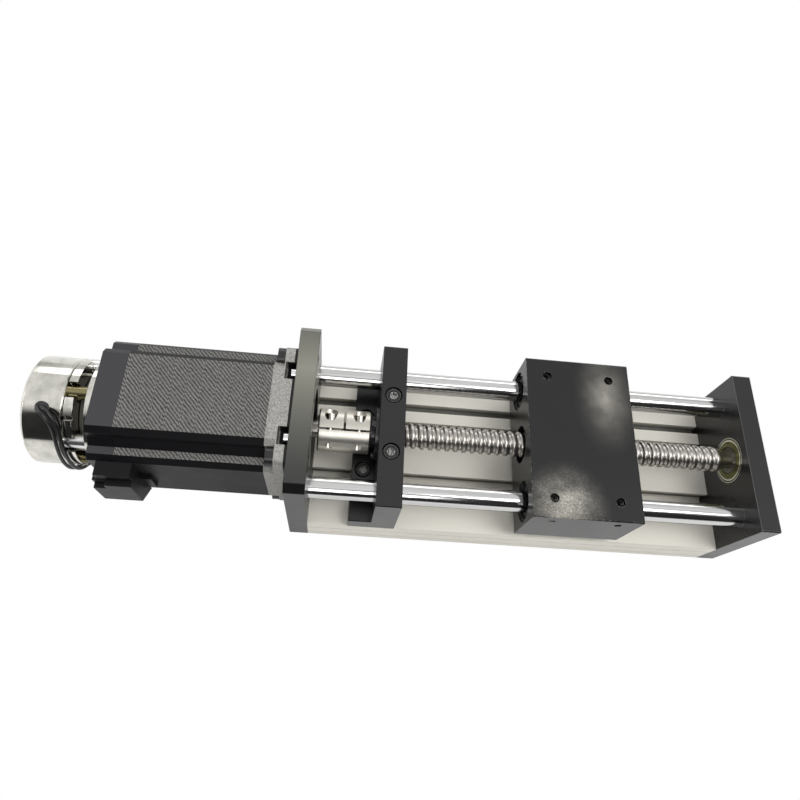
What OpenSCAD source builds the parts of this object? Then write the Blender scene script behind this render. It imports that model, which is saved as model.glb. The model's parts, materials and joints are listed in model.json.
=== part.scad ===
// Ball screw linear module with a braked stepper motor. Millimetres, +X from motor to end plate, +Z up.
// The origin is the centre of the base extrusion's bottom face.

/* [Base and plates] */
// Length of the base extrusion, which is the clear distance between the two plates
base_len = 202; // [180:1:400]
// Width of the base, the plates, the bearing block and the carriage
body_w = 78; // [74:1:100]
// Height of the base extrusion
base_h = 20; // [18:0.5:26]
// Thickness of the motor plate and the end plate
plate_t = 9; // [8:0.5:14]
// Height of the motor plate
motor_plate_h = 71; // [71:0.5:80]
// Height of the end plate
end_plate_h = 58; // [56:0.5:66]
// Corner cut on the motor plate's two top corners
corner_cut = 3.5; // [1:0.5:6]
// Small chamfer on the edges of the plates, the block and the carriage
edge_break = 0.5; // [0.3:0.1:0.8]
// Height of the screw axis and the guide shafts above the bottom
axis_h = 42.5; // [42:0.5:46]

/* [Base slots] */
// Distance of each T-slot from the middle of the base
slot_y = 13.85; // [13:0.05:15]
// Width of a T-slot's mouth
slot_w = 6; // [5.6:0.1:6.4]
// Thickness of the lips over a T-slot
slot_lip = 2.5; // [2:0.1:3]
// Width of a T-slot inside
slot_in_w = 10; // [9:0.1:10.6]
// Depth of a T-slot inside, under its lips
slot_in_h = 6; // [5:0.1:7]
// Distance of each narrow groove from the middle of the base
groove_y = 24.85; // [23:0.05:26]
// Width of a narrow groove
groove_w = 4.1; // [3:0.1:4.5]
// Depth of a narrow groove
groove_h = 5; // [3:0.5:8]
// Height of the upper line along each side of the base
side_line_high = 13.2; // [11:0.1:16]
// Height of the lower line along each side of the base
side_line_low = 5; // [3:0.1:8]

/* [Guides and screw] */
// Diameter of the guide shafts
shaft_d = 10; // [9:0.5:11]
// Distance between the two guide shafts
shaft_gap = 56; // [54:0.5:58]
// Depth to which the guide shafts sit in the plates
shaft_seat = 4.5; // [3.5:0.5:4.5]
// Outer diameter of the ball screw
screw_d = 12; // [11.5:0.1:12.5]
// Lead of the ball screw, one thread start
lead = 4; // [4:0.5:5]
// Diameter of the nut's balls
ball_d = 2; // [1.8:0.05:2.1]
// Diameter of the screw's journals and the motor shaft
journal_d = 8; // [7:0.5:8]

/* [Carriage] */
// Length of the carriage along the screw
carriage_l = 50; // [48:1:60]
// Height of the carriage block
carriage_h = 32; // [31:0.5:36]
// Gap between the base and the carriage's underside
carriage_gap = 6; // [5:0.5:8]
// Middle of the carriage at rest
carriage_x = 22; // [20:0.5:24]
// Full travel of the carriage
stroke = 100; // [60:1:100]
// Distance between the top holes along the screw
top_hole_x = 30; // [26:1:36]
// Distance between the top holes across the screw
top_hole_y = 60; // [57:1:62]
// Diameter of the carriage's tapped holes
tap_d = 4.2; // [3.3:0.1:5]
// Depth of the carriage's top holes
top_hole_depth = 5.5; // [4:0.5:5.5]
// Distance of the side holes below the carriage's top
side_hole_drop = 6; // [5:0.5:7]
// Outer diameter of the linear bearings
lin_d = 19; // [18:0.5:20]
// Length of one linear bearing
lin_l = 22; // [20:0.5:22.5]
// Outer diameter of the ball nut
nut_d = 24; // [22:0.5:25]
// Length of the ball nut
nut_l = 34; // [30:1:38]

/* [Bearing block] */
// Distance from the motor plate to the bearing block's upright
block_x = 29.6; // [28:0.1:34]
// Thickness of the upright
block_t = 11.4; // [11:0.1:14]
// Height of the upright above the base
block_h = 37.5; // [37:0.5:42]
// Length of the block's foot, towards the motor
foot_l = 10.7; // [9:0.1:12]
// Outer diameter of the fixed bearings
fixed_d = 16; // [15:0.5:17]
// Width of one fixed bearing
fixed_w = 5; // [4:0.1:5.2]
// Outer diameter of the end bearing
end_d = 22; // [20:0.5:24]
// Width of the end bearing
end_w = 7; // [6:0.5:7]

/* [Coupling] */
// Diameter of the clamp coupling
coupling_d = 20; // [18:0.5:22]
// Length of the clamp coupling
coupling_l = 24; // [22:0.5:25]
// Gap between the motor plate and the coupling
coupling_gap = 2; // [1:0.1:3]
// Width of the coupling's slits
slit_w = 1; // [0.6:0.1:1.4]
// Angle at which the axial slit stands at rest, towards the front
slit_angle = 18; // [0:1:45]
// Distance of the clamp screws from the coupling's axis
clamp_off = 6.5; // [6.2:0.1:7]

/* [Motor] */
// Width of the square motor
motor_w = 56.4; // [55:0.1:57]
// Width of the flat on each side of the laminated stack
motor_flat = 34; // [30:0.5:36]
// Size of the notch in each corner of the stack
motor_notch = 8.6; // [7:0.1:9]
// Length of the laminated stack
stack_l = 61.3; // [40:0.1:90]
// Length of the front flange casting
flange_l = 9.7; // [8:0.1:12]
// Thickness of the square plate on the flange's front
flange_t = 5.2; // [4:0.1:6]
// Length of the rear cap
cap_l = 11; // [10:0.5:16]
// Diameter of the pilot boss in the motor plate
pilot_d = 38.1; // [30:0.1:40]
// Hole-to-hole distance of the motor's square fastening pattern
motor_bolt = 47.14; // [46:0.02:48]
// Distance of the two pockets in the flange's top edge from the middle
pocket_y = 15.2; // [14:0.1:16]

/* [Brake] */
// Diameter of the brake
brake_d = 48; // [46:0.5:52]
// Length of the brake's magnet body
magnet_l = 16.9; // [15:0.1:22]
// Thickness of the armature plate
armature_t = 3.6; // [3:0.1:5]
// Thickness of the friction disc
disc_t = 4.1; // [3:0.1:5]
// Thickness of the brake's mounting plate
mount_t = 3.9; // [3:0.1:5]
// Gap between the magnet and the armature at rest
air_gap = 0.6; // [0.6:0.05:0.8]
// Free running gap on each side of the friction disc
disc_gap = 0.3; // [0.3:0.05:0.5]
// Radius on which the brake's sleeves and screws stand
brake_bolt_r = 20.6; // [20:0.1:21]

/* [Fits] */
// Gap of a running fit, on the radius
run_fit = 0.05; // [0.03:0.01:0.08]
// Gap round a fastener in its clearance hole, on the radius
screw_clear = 0.25; // [0.2:0.05:0.3]
// Gap of a seated piece, on the radius
seat_fit = 0.02; // [0:0.01:0.03]

/* [Hidden] */

$fn = 48;
eps = 0.01;

// Places along the screw
x_plate = -base_len / 2;
x_end = base_len / 2;
x_motor = x_plate - plate_t;
x_stack = x_motor - flange_l;
x_cap = x_stack - stack_l;
x_rear = x_cap - cap_l;
x_mount = x_rear - mount_t;
x_disc = x_mount - disc_gap - disc_t;
x_armature = x_disc - disc_gap - armature_t;
x_magnet = x_armature - air_gap - magnet_l;
x_coupling = x_plate + coupling_gap;
x_coupling_mid = x_coupling + coupling_l / 2;
x_block = x_plate + block_x;
x_block_end = x_block + block_t;
x_fixed = x_block_end - 1.4 - 2 * fixed_w;
x_thread = x_block_end + 0.5;
x_thread_end = x_end - 2.4;
x_screw_end = x_end + end_w + 1.4;

// Radii and heights
screw_r = screw_d / 2;
ball_r = ball_d / 2;
ball_path_r = screw_r + 0.25;
groove_r = ball_r + 0.15;
journal_r = journal_d / 2;
shaft_y = shaft_gap / 2;
base_top = base_h;
carriage_z = base_top + carriage_gap;
carriage_top = carriage_z + carriage_h;
block_top = base_top + block_h;
half_w = body_w / 2;
half_motor = motor_w / 2;
brake_r = brake_d / 2;

// Fastener sizes: [shank diameter, head diameter, head height, hexagon across flats]
M3 = [3, 5.5, 3, 2.5];
M4 = [4, 7, 4, 3];
M4_LOW = [4, 7, 2.2, 2.5];
M5 = [5, 8.5, 5, 4];
M5_LOW = [5, 8.5, 3.5, 3];

/* ---------- helpers ---------- */

// Extrudes a flat outline, drawn as Y and Z, along X from a to b
module along_x(a, b) {
  translate([a, 0, 0])
    rotate([90, 0, 90])
      linear_extrude(b - a) children();
}

// Solid cylinder along X on the screw axis, from a to b
module rod_x(r, a, b) {
  translate([a, 0, axis_h])
    rotate([0, 90, 0])
      cylinder(r = r, h = b - a);
}

// Ring along X on the screw axis
module ring_x(r_out, r_in, a, b) {
  difference() {
    rod_x(r_out, a, b);
    rod_x(r_in, a - 1, b + 1);
  }
}

// Rectangle with its four corners cut at 45 degrees
module cut_rect(w, y0, y1, cut) {
  polygon([
    [-w / 2 + cut, y0], [w / 2 - cut, y0], [w / 2, y0 + cut], [w / 2, y1 - cut],
    [w / 2 - cut, y1], [-w / 2 + cut, y1], [-w / 2, y1 - cut], [-w / 2, y0 + cut]
  ]);
}

// Socket head screw, shank down from the origin, head up
module cap_screw(m, length) {
  hex_r = m[3] / 2 / cos(30);
  difference() {
    union() {
      cylinder(d = m[1], h = m[2]);
      translate([0, 0, -length]) cylinder(d = m[0], h = length + eps);
    }
    translate([0, 0, m[2] * 0.45]) cylinder(r = hex_r, h = m[2], $fn = 6);
  }
}

// Counterbored hole for a socket head screw, head seat at the origin
module cap_screw_hole(m, length, head_depth) {
  translate([0, 0, -length]) cylinder(d = m[0] + 2 * screw_clear, h = length + eps);
  cylinder(d = m[1] + 4 * screw_clear, h = head_depth);
}

// Copies its children on a circle round the screw axis, the first at the top
module around_x(count, radius, first = 0) {
  for (i = [0 : count - 1])
    translate([0, 0, axis_h])
      rotate([first + i * 360 / count, 0, 0])
        translate([0, 0, radius]) children();
}

// Places its children at both guide shafts
module at_shafts() {
  for (side = [-1, 1])
    translate([0, side * shaft_y, axis_h]) children();
}

// Row of balls on a circle round the screw axis, at one place along X
module ball_row(count, path_r, r, x) {
  for (i = [0 : count - 1])
    translate([x, path_r * cos(i * 360 / count), axis_h + path_r * sin(i * 360 / count)])
      sphere(r = r);
}

/* ---------- base, plates, shafts ---------- */

plate_screw_y = [-32, 0, 32];
plate_screw_z = 10;

module base_outline() {
  difference() {
    cut_rect(body_w, 0, base_h, edge_break);
    for (side = [-1, 1]) {
      translate([side * slot_y - slot_w / 2, base_h - slot_lip - eps])
        square([slot_w, slot_lip + 1]);
      translate([side * slot_y, base_h - slot_lip])
        polygon([
          [-slot_in_w / 2, 0], [slot_in_w / 2, 0], [slot_in_w / 2, -slot_in_h / 2],
          [slot_w / 2, -slot_in_h], [-slot_w / 2, -slot_in_h], [-slot_in_w / 2, -slot_in_h / 2]
        ]);
      translate([side * groove_y - groove_w / 2, base_h - groove_h])
        square([groove_w, groove_h + 1]);
      // fine lines along the sides
      for (z = [side_line_low, side_line_high])
        translate([side * half_w, z])
          polygon([[-1 * side, 0], [side, -0.8], [side, 0.8]]);
    }
  }
}

base_hole_x = 150;
base_hole_y = 60;
base_hole_d = 4.2;
base_hole_depth = 9;

module base_extrusion() {
  color([0.80, 0.80, 0.77])
    difference() {
      along_x(x_plate, x_end) base_outline();
      for (y = plate_screw_y) {
        for (x = [x_plate - 1, x_end - 15])
          translate([x, y, plate_screw_z])
            rotate([0, 90, 0]) cylinder(d = M5[0] + 2 * run_fit, h = 16);
      }
      for (sx = [-1, 1], sy = [-1, 1])
        translate([sx * base_hole_x / 2, sy * base_hole_y / 2, -1])
          cylinder(d = base_hole_d, h = base_hole_depth + 1);
    }
}

// Seats of the plate screws: the heads are sunk into the outer faces
head_sink = 5.5;
low_sink = 2.4;

module plate_screw_holes(x, dir) {
  for (y = plate_screw_y)
    translate([x - dir * head_sink, y, plate_screw_z])
      rotate([0, dir * 90, 0])
        cap_screw_hole(M5, plate_t, head_sink + 1);
}

module motor_plate() {
  color([0.10, 0.10, 0.11])
    difference() {
      along_x(x_motor, x_plate)
        polygon([
          [-half_w + edge_break, 0], [half_w - edge_break, 0], [half_w, edge_break],
          [half_w, motor_plate_h - corner_cut], [half_w - corner_cut, motor_plate_h],
          [-half_w + corner_cut, motor_plate_h], [-half_w, motor_plate_h - corner_cut],
          [-half_w, edge_break]
        ]);
      rod_x(pilot_d / 2 + seat_fit, x_motor - 1, x_plate + 1);
      at_shafts()
        translate([-shaft_seat + x_plate, 0, 0])
          rotate([0, 90, 0]) cylinder(r = shaft_d / 2 + seat_fit, h = shaft_seat + 1);
      plate_screw_holes(x_motor, -1);
      for (sy = [-1, 1], sz = [-1, 1])
        translate([x_motor - 1, sy * motor_bolt / 2, axis_h + sz * motor_bolt / 2])
          rotate([0, 90, 0]) cylinder(d = M5_LOW[0] + 2 * run_fit, h = plate_t + 2);
      for (sy = [-1, 1])
        translate([x_motor - 1, sy * pocket_y, flange_screw_z])
          rotate([0, 90, 0]) cylinder(d = M3[0] + 2 * run_fit, h = 7);
    }
}

module end_plate() {
  color([0.10, 0.10, 0.11])
    difference() {
      along_x(x_end, x_end + plate_t) cut_rect(body_w, 0, end_plate_h, edge_break);
      rod_x(end_d / 2 + seat_fit, x_end - 1, x_end + end_w);
      rod_x(end_d / 2 - 2, x_end, x_end + plate_t + 1);
      at_shafts()
        translate([x_end - 1, 0, 0])
          rotate([0, 90, 0]) cylinder(r = shaft_d / 2 + seat_fit, h = shaft_seat + 1);
      at_shafts()
        translate([x_end + plate_t - low_sink, 0, 0])
          rotate([0, 90, 0]) cap_screw_hole(M4_LOW, plate_t, low_sink + 1);
      plate_screw_holes(x_end + plate_t, 1);
    }
}

module guide_shaft(side) {
  color([0.86, 0.87, 0.88])
    translate([x_plate - shaft_seat, side * shaft_y, axis_h])
      rotate([0, 90, 0])
        difference() {
          rotate_extrude()
            polygon([
              [0, 0], [shaft_d / 2 - 0.5, 0], [shaft_d / 2, 0.5],
              [shaft_d / 2, base_len + 2 * shaft_seat - 0.5],
              [shaft_d / 2 - 0.5, base_len + 2 * shaft_seat], [0, base_len + 2 * shaft_seat]
            ]);
          translate([0, 0, base_len + 2 * shaft_seat - 12])
            cylinder(d = M4_LOW[0] + 2 * run_fit, h = 13);
        }
}

module guide_shaft_rear() { guide_shaft(1); }
module guide_shaft_front() { guide_shaft(-1); }

module plate_screws() {
  color([0.16, 0.16, 0.17])
    for (y = plate_screw_y) {
      translate([x_motor + head_sink, y, plate_screw_z])
        rotate([0, -90, 0]) cap_screw(M5, 16);
      translate([x_end + plate_t - head_sink, y, plate_screw_z])
        rotate([0, 90, 0]) cap_screw(M5, 16);
    }
}

module shaft_screws() {
  color([0.16, 0.16, 0.17])
    at_shafts()
      translate([x_end + plate_t - low_sink, 0, 0])
        rotate([0, 90, 0]) cap_screw(M4_LOW, 11);
}

/* ---------- bearing block and its screws ---------- */

foot_screw_x = x_block - foot_l / 2;
block_screw_x = x_block + block_t / 2 - 0.1;
block_screw_y = 13.7;
slot_nut_h = 3;
slot_nut_z = base_top - slot_lip - slot_nut_h;
top_head_sink = 5;
foot_head_sink = 4.4;
retainer_t = 1.5;
retainer_r = 10.2;
retainer_out_r = 12.4;
retainer_gap = 0.1;
// The foot's top stays just under the retainer
foot_h = axis_h - retainer_out_r - retainer_gap - base_top;
RETAINER_SCREW = [2, 3.6, 1, 1.3];

module bearing_block() {
  color([0.09, 0.09, 0.10])
    difference() {
      union() {
        along_x(x_block, x_block_end) cut_rect(body_w, base_top, block_top, edge_break);
        along_x(x_block - foot_l, x_block + eps)
          cut_rect(body_w, base_top, base_top + foot_h, edge_break);
      }
      rod_x(fixed_d / 2 + seat_fit, x_block - 1, x_fixed + 2 * fixed_w);
      rod_x(screw_r + 0.6, x_block, x_block_end + 1);
      at_shafts()
        translate([x_block - 1, 0, 0])
          rotate([0, 90, 0]) cylinder(r = shaft_d / 2 + seat_fit, h = block_t + 2);
      for (side = [-1, 1]) {
        translate([block_screw_x, side * block_screw_y, block_top - top_head_sink])
          cap_screw_hole(M4, block_h, top_head_sink + 1);
        translate([foot_screw_x, side * block_screw_y, base_top + foot_h - foot_head_sink])
          cap_screw_hole(M4, foot_h, foot_head_sink + 1);
      }
      around_x(3, retainer_r)
        translate([x_block - 1, 0, 0])
          rotate([0, 90, 0]) cylinder(d = 2 + 2 * run_fit, h = 6);
    }
}

// Two screws through the upright and two through the foot, down to the nuts in the slots
module block_screws() {
  color([0.14, 0.14, 0.15])
    for (side = [-1, 1]) {
      translate([block_screw_x, side * block_screw_y, block_top - top_head_sink])
        cap_screw(M4, block_top - top_head_sink - slot_nut_z);
      translate([foot_screw_x, side * block_screw_y, base_top + foot_h - foot_head_sink])
        cap_screw(M4, base_top + foot_h - foot_head_sink - slot_nut_z);
    }
}

module slot_nuts() {
  color([0.62, 0.62, 0.62])
    for (side = [-1, 1], x = [foot_screw_x, block_screw_x])
      difference() {
        translate([x - 4, side * slot_y - slot_in_w / 2 + 0.3, slot_nut_z])
          cube([8, slot_in_w - 0.6, slot_nut_h]);
        translate([x, side * block_screw_y, slot_nut_z - 1])
          cylinder(d = M4[0] + 2 * run_fit, h = slot_nut_h + 2);
      }
}

/* ---------- ball bearings ---------- */

// Outer ring, inner ring and balls of a deep-groove ball bearing, from x to x + w
function race_r(d_out, d_in) = (d_out + d_in) / 4;
function race_ball(d_out, d_in) = (d_out - d_in) / 2 * 0.3;

module bearing_outer(d_out, d_in, w, x) {
  pitch = race_r(d_out, d_in);
  r = race_ball(d_out, d_in);
  translate([x, 0, axis_h])
    rotate([0, 90, 0])
      rotate_extrude()
        difference() {
          translate([pitch + r * 0.55, 0]) square([d_out / 2 - pitch - r * 0.55, w]);
          translate([pitch, w / 2]) circle(r = r + run_fit);
        }
}

module bearing_inner(d_out, d_in, w, x) {
  pitch = race_r(d_out, d_in);
  r = race_ball(d_out, d_in);
  translate([x, 0, axis_h])
    rotate([0, 90, 0])
      rotate_extrude()
        difference() {
          translate([d_in / 2, 0]) square([pitch - r * 0.55 - d_in / 2, w]);
          translate([pitch, w / 2]) circle(r = r + run_fit);
        }
}

module ring_of_balls(d_out, d_in, w, x, count) {
  ball_row(count, race_r(d_out, d_in), race_ball(d_out, d_in), x + w / 2);
}

module fixed_bearing_outer_rings() {
  color([0.75, 0.76, 0.77])
    for (i = [0, 1])
      bearing_outer(fixed_d, journal_d, fixed_w, x_fixed + i * fixed_w);
}

// The rings and balls of the two fixed bearings and of the end bearing
module bearing_inner_rings() {
  color([0.75, 0.76, 0.77]) {
    for (i = [0, 1])
      bearing_inner(fixed_d, journal_d, fixed_w, x_fixed + i * fixed_w);
    bearing_inner(end_d, journal_d, end_w, x_end);
  }
}

module bearing_balls() {
  color([0.85, 0.85, 0.86]) {
    for (i = [0, 1])
      ring_of_balls(fixed_d, journal_d, fixed_w, x_fixed + i * fixed_w, 11);
    ring_of_balls(end_d, journal_d, end_w, x_end, 7);
  }
}

module bearing_retainer() {
  color([0.12, 0.12, 0.13])
    difference() {
      ring_x(retainer_out_r, fixed_d / 2 - 1.2, x_block - retainer_t, x_block);
      around_x(3, retainer_r)
        translate([x_block - 3, 0, 0])
          rotate([0, 90, 0]) cylinder(d = 2 + 2 * run_fit, h = 6);
    }
}

module retainer_screws() {
  color([0.55, 0.55, 0.56])
    around_x(3, retainer_r)
      translate([x_block - retainer_t, 0, 0])
        rotate([0, -90, 0]) cap_screw(RETAINER_SCREW, 5.5);
}

module lock_nut() {
  color([0.20, 0.20, 0.21])
    difference() {
      rod_x(6.3, x_coupling + coupling_l + 0.3, x_fixed);
      rod_x(journal_r + seat_fit, x_coupling, x_fixed + 1);
      for (a = [0 : 90 : 270])
        translate([0, 0, axis_h])
          rotate([a, 0, 0])
            translate([x_coupling, -1.2, 5.4]) cube([coupling_l + 2, 2.4, 3]);
    }
}

module bearing_spacer() {
  color([0.70, 0.70, 0.71])
    ring_x(5.2, journal_r + seat_fit, x_fixed + 2 * fixed_w, x_thread);
}

module end_bearing_outer_ring() {
  color([0.78, 0.78, 0.76])
    bearing_outer(end_d, journal_d, end_w, x_end);
}

// Two pressed shields, which leave a running gap round the inner ring
module end_bearing_shields() {
  pitch = race_r(end_d, journal_d);
  r = race_ball(end_d, journal_d);
  shield_in = pitch - r * 0.55 + 0.3;
  shield_out = pitch + r * 0.55;
  color([0.72, 0.68, 0.50])
    for (x = [x_end + 0.35, x_end + end_w - 0.75])
      ring_x(shield_out, shield_in, x, x + 0.4);
}

module end_circlip() {
  color([0.20, 0.20, 0.21])
    difference() {
      ring_x(journal_r + 1.5, journal_r - 0.3, x_end + end_w + 0.1, x_end + end_w + 0.9);
      translate([x_end, -1.2, axis_h - 9]) cube([plate_t, 2.4, 9]);
    }
}

/* ---------- ball screw ---------- */

thread_seg = 16;
thread_len = x_thread_end - x_thread;
thread_turns = floor(thread_len / lead) - 1;
// Phase of the groove: where its middle lies at the rear side of the screw
thread_x0 = x_thread + (thread_len - thread_turns * lead) / 2;
floor_angle = 25;
groove_edge = acos((ball_path_r - screw_r) / groove_r);

// One pitch of the thread: the groove's floor, its two flanks and the land
thread_profile = [
  for (a = [-floor_angle, floor_angle, groove_edge, 360 - groove_edge])
    [groove_r * sin(a) + (a > 180 ? lead : 0), ball_path_r - groove_r * cos(a)]
];
thread_p = len(thread_profile);
root_r = ball_path_r - groove_r * cos(floor_angle);

function thread_point(i, j) =
  let (turn = i / thread_seg, a = 360 * turn, p = thread_profile[j])
  [thread_x0 + lead * (turn - 0.5) + p[0], p[1] * cos(a), p[1] * sin(a)];

function thread_index(i, j) =
  j < thread_p ? i * thread_p + j : (i + thread_seg) * thread_p + j - thread_p;

module thread_body() {
  rows = thread_turns * thread_seg;
  all_rows = rows + thread_seg;
  first_ring = (all_rows + 1) * thread_p;
  last_ring = first_ring + thread_seg;
  points = concat(
    [for (i = [0 : all_rows], j = [0 : thread_p - 1]) thread_point(i, j)],
    [for (k = [0 : thread_seg - 1])
      [x_thread, root_r * cos(360 * k / thread_seg), root_r * sin(360 * k / thread_seg)]],
    [for (k = [0 : thread_seg - 1])
      [x_thread_end, root_r * cos(360 * k / thread_seg), root_r * sin(360 * k / thread_seg)]]
  );
  strip = [for (i = [0 : rows - 1], j = [0 : thread_p - 1])
    [thread_index(i, j), thread_index(i, j + 1), thread_index(i + 1, j + 1), thread_index(i + 1, j)]];
  // plain cylinders up to the first groove and after the last one, in flat strips
  start_side = [for (k = [0 : thread_seg - 2])
    [first_ring + k, thread_index(k, 0), thread_index(k + 1, 0), first_ring + k + 1]];
  start_join = [
    [first_ring + thread_seg - 1, thread_index(thread_seg - 1, 0), thread_index(thread_seg, 0)],
    [first_ring + thread_seg - 1, thread_index(thread_seg, 0), thread_index(0, 1)],
    [first_ring + thread_seg - 1, thread_index(0, 1), thread_index(0, 0)],
    [first_ring + thread_seg - 1, thread_index(0, 0), first_ring]
  ];
  start_step = [[for (j = [thread_p : -1 : 1]) thread_index(0, j)]];
  start_cap = [[for (k = [0 : thread_seg - 1]) first_ring + k]];
  end_side = [for (k = [1 : thread_seg - 1])
    [last_ring + k, last_ring + (k + 1) % thread_seg,
      thread_index(rows + k + 1, 0), thread_index(rows + k, 0)]];
  end_join = [
    [last_ring + 1, thread_index(rows + 1, 0), thread_index(rows, 0)],
    [last_ring + 1, thread_index(rows, 0), thread_index(rows, 1)],
    [last_ring + 1, thread_index(rows, 1), thread_index(rows + thread_seg, 0)],
    [last_ring + 1, thread_index(rows + thread_seg, 0), last_ring]
  ];
  end_step = [[for (j = [1 : thread_p]) thread_index(rows, j)]];
  end_cap = [[for (k = [thread_seg - 1 : -1 : 0]) last_ring + k]];
  translate([0, 0, axis_h])
    polyhedron(
      points = points,
      faces = concat(strip, start_side, start_join, start_step, start_cap,
        end_side, end_join, end_step, end_cap),
      convexity = 10
    );
}

module ball_screw() {
  color([0.78, 0.77, 0.74]) {
    thread_body();
    difference() {
      rod_x(journal_r, x_coupling_mid + 0.5, x_thread + 1);
      rod_x(1, x_coupling_mid - 1, x_coupling_mid + 3);
    }
    difference() {
      rod_x(journal_r, x_thread_end - 1, x_screw_end);
      ring_x(journal_r + 1, journal_r - 0.3, x_end + end_w + 0.05, x_end + end_w + 0.95);
    }
  }
}

/* ---------- coupling ---------- */

clamp_x = [coupling_l / 4 - 0.6, coupling_l * 3 / 4 + 0.6];
clamp_seat = 4.2;
clamp_len = 10.5;

// Turns its children so that their top stands at the slit, on the screw axis
module at_slit() {
  translate([x_coupling, 0, axis_h])
    rotate([slit_angle, 0, 0]) children();
}

module coupling() {
  r = coupling_d / 2;
  color([0.83, 0.82, 0.79])
    at_slit()
      difference() {
        rotate([0, 90, 0])
          rotate_extrude()
            polygon([
              [journal_r + seat_fit, 0], [r - 0.6, 0], [r, 0.6], [r, coupling_l - 0.6],
              [r - 0.6, coupling_l], [journal_r + seat_fit, coupling_l]
            ]);
        translate([-1, -slit_w / 2, 0]) cube([coupling_l + 2, slit_w, r + 1]);
        translate([coupling_l / 2 - slit_w / 2, -slit_w / 2, -0.5])
          cube([slit_w, r + 1, r + 2]);
        for (x = clamp_x)
          translate([x, clamp_seat, clamp_off])
            rotate([-90, 0, 0]) {
              cylinder(d = M3[1] + 0.5, h = r);
              translate([0, 0, -2 * r]) cylinder(d = M3[0] + 2 * run_fit, h = 2 * r + 1);
            }
      }
}

module coupling_screws() {
  color([0.80, 0.80, 0.80])
    at_slit()
      for (x = clamp_x)
        translate([x, clamp_seat, clamp_off])
          rotate([-90, 0, 0]) cap_screw(M3, clamp_len);
}

/* ---------- carriage ---------- */

x_car = carriage_x - carriage_l / 2;
x_car_end = carriage_x + carriage_l / 2;
clip_in = 1;
clip_t = 1;
lin_x = [x_car + clip_in + clip_t, x_car_end - clip_in - clip_t - lin_l];
nut_mouth = 18;
x_nut = x_car + 10;
nut_step = 1.4;

module carriage() {
  color([0.07, 0.07, 0.08])
    difference() {
      along_x(x_car, x_car_end) cut_rect(body_w, carriage_z, carriage_top, edge_break);
      at_shafts()
        translate([x_car - 1, 0, 0])
          rotate([0, 90, 0]) cylinder(r = lin_d / 2 + seat_fit, h = carriage_l + 2);
      for (x = [x_car + clip_in, x_car_end - clip_in - clip_t])
        at_shafts()
          translate([x, 0, 0])
            rotate([0, 90, 0]) cylinder(r = lin_d / 2 + 0.6, h = clip_t);
      rod_x(nut_mouth / 2, x_car - 1, x_car_end);
      rod_x(nut_d / 2 + seat_fit, x_nut, x_car_end + 1);
      rod_x(nut_d / 2 + 0.8, x_nut + nut_l, x_nut + nut_l + 1.2);
      for (sx = [-1, 1], sy = [-1, 1])
        translate([carriage_x + sx * top_hole_x / 2, sy * top_hole_y / 2, carriage_top - top_hole_depth])
          cylinder(d = tap_d, h = top_hole_depth + 1);
      for (sx = [-1, 1], sy = [-1, 1])
        translate([carriage_x + sx * top_hole_x / 2, sy * (half_w + 1), carriage_top - side_hole_drop])
          rotate([sy * 90, 0, 0]) cylinder(d = tap_d - 0.9, h = 6);
    }
}

module linear_bearings() {
  color([0.76, 0.77, 0.78])
    at_shafts()
      for (x = lin_x)
        translate([x, 0, 0])
          rotate([0, 90, 0])
            rotate_extrude()
              difference() {
                translate([lin_d / 2 - 1.5, 0]) square([1.5, lin_l]);
                for (z = [2.4, lin_l - 3.6])
                  translate([lin_d / 2 - 0.4, z]) square([1, 1.2]);
              }
}

module linear_bearing_cages() {
  color([0.30, 0.30, 0.31])
    at_shafts()
      for (x = lin_x)
        translate([x + 1.5, 0, 0])
          rotate([0, 90, 0])
            difference() {
              cylinder(r = lin_d / 2 - 1.5, h = lin_l - 3);
              translate([0, 0, -1]) cylinder(r = shaft_d / 2 + run_fit, h = lin_l);
              for (a = [0 : 90 : 270])
                rotate(a)
                  translate([shaft_d / 2 - 1, -0.6, 3]) cube([2.4, 1.2, lin_l - 9]);
            }
}

module linear_bearing_seals() {
  color([0.06, 0.06, 0.06])
    at_shafts()
      for (x = lin_x, end = [0, lin_l - 1.5])
        translate([x + end, 0, 0])
          rotate([0, 90, 0])
            difference() {
              cylinder(r = lin_d / 2 - 1.5, h = 1.5);
              translate([0, 0, -1]) cylinder(r = shaft_d / 2 + run_fit, h = 4);
            }
}

// Retaining rings of the linear bearings and of the ball nut
module carriage_circlips() {
  color([0.10, 0.10, 0.10]) {
    difference() {
      ring_x(nut_d / 2 + 0.7, nut_d / 2 - 2, x_nut + nut_l, x_nut + nut_l + 1.1);
      translate([x_nut, -1.5, axis_h - nut_d]) cube([nut_l + 4, 3, nut_d]);
    }
    for (x = [x_car + clip_in, x_car_end - clip_in - clip_t])
      at_shafts()
        translate([x, 0, 0])
          rotate([0, 90, 0])
            difference() {
              cylinder(r = lin_d / 2 + 0.55, h = clip_t);
              translate([0, 0, -1]) cylinder(r = lin_d / 2 - 1.5, h = clip_t + 2);
              translate([-1.8, 0, -1]) cube([3.6, lin_d, clip_t + 2]);
            }
  }
}

// The nut: lands at both ends and a chamber between them, in which the balls run
module ball_nut() {
  land = screw_r + 0.3;
  chamber = ball_path_r + ball_r + run_fit;
  color([0.66, 0.66, 0.66])
    translate([x_nut, 0, axis_h])
      rotate([0, 90, 0])
        difference() {
          rotate_extrude()
            difference() {
              translate([land, 0]) square([nut_d / 2 - land, nut_l]);
              translate([0, 8]) square([chamber, nut_l - 16]);
              translate([0, -1]) square([land + nut_step, 3.5]);
              translate([0, nut_l - 2.5]) square([land + nut_step, 3.5]);
            }
          for (a = [0, 120, 240])
            rotate(a)
              translate([nut_d / 2 - 1.5, 0, nut_l / 2 + (a / 120 - 1) * lead])
                rotate([0, 90, 0]) cylinder(d = 5, h = 2);
        }
}

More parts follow.
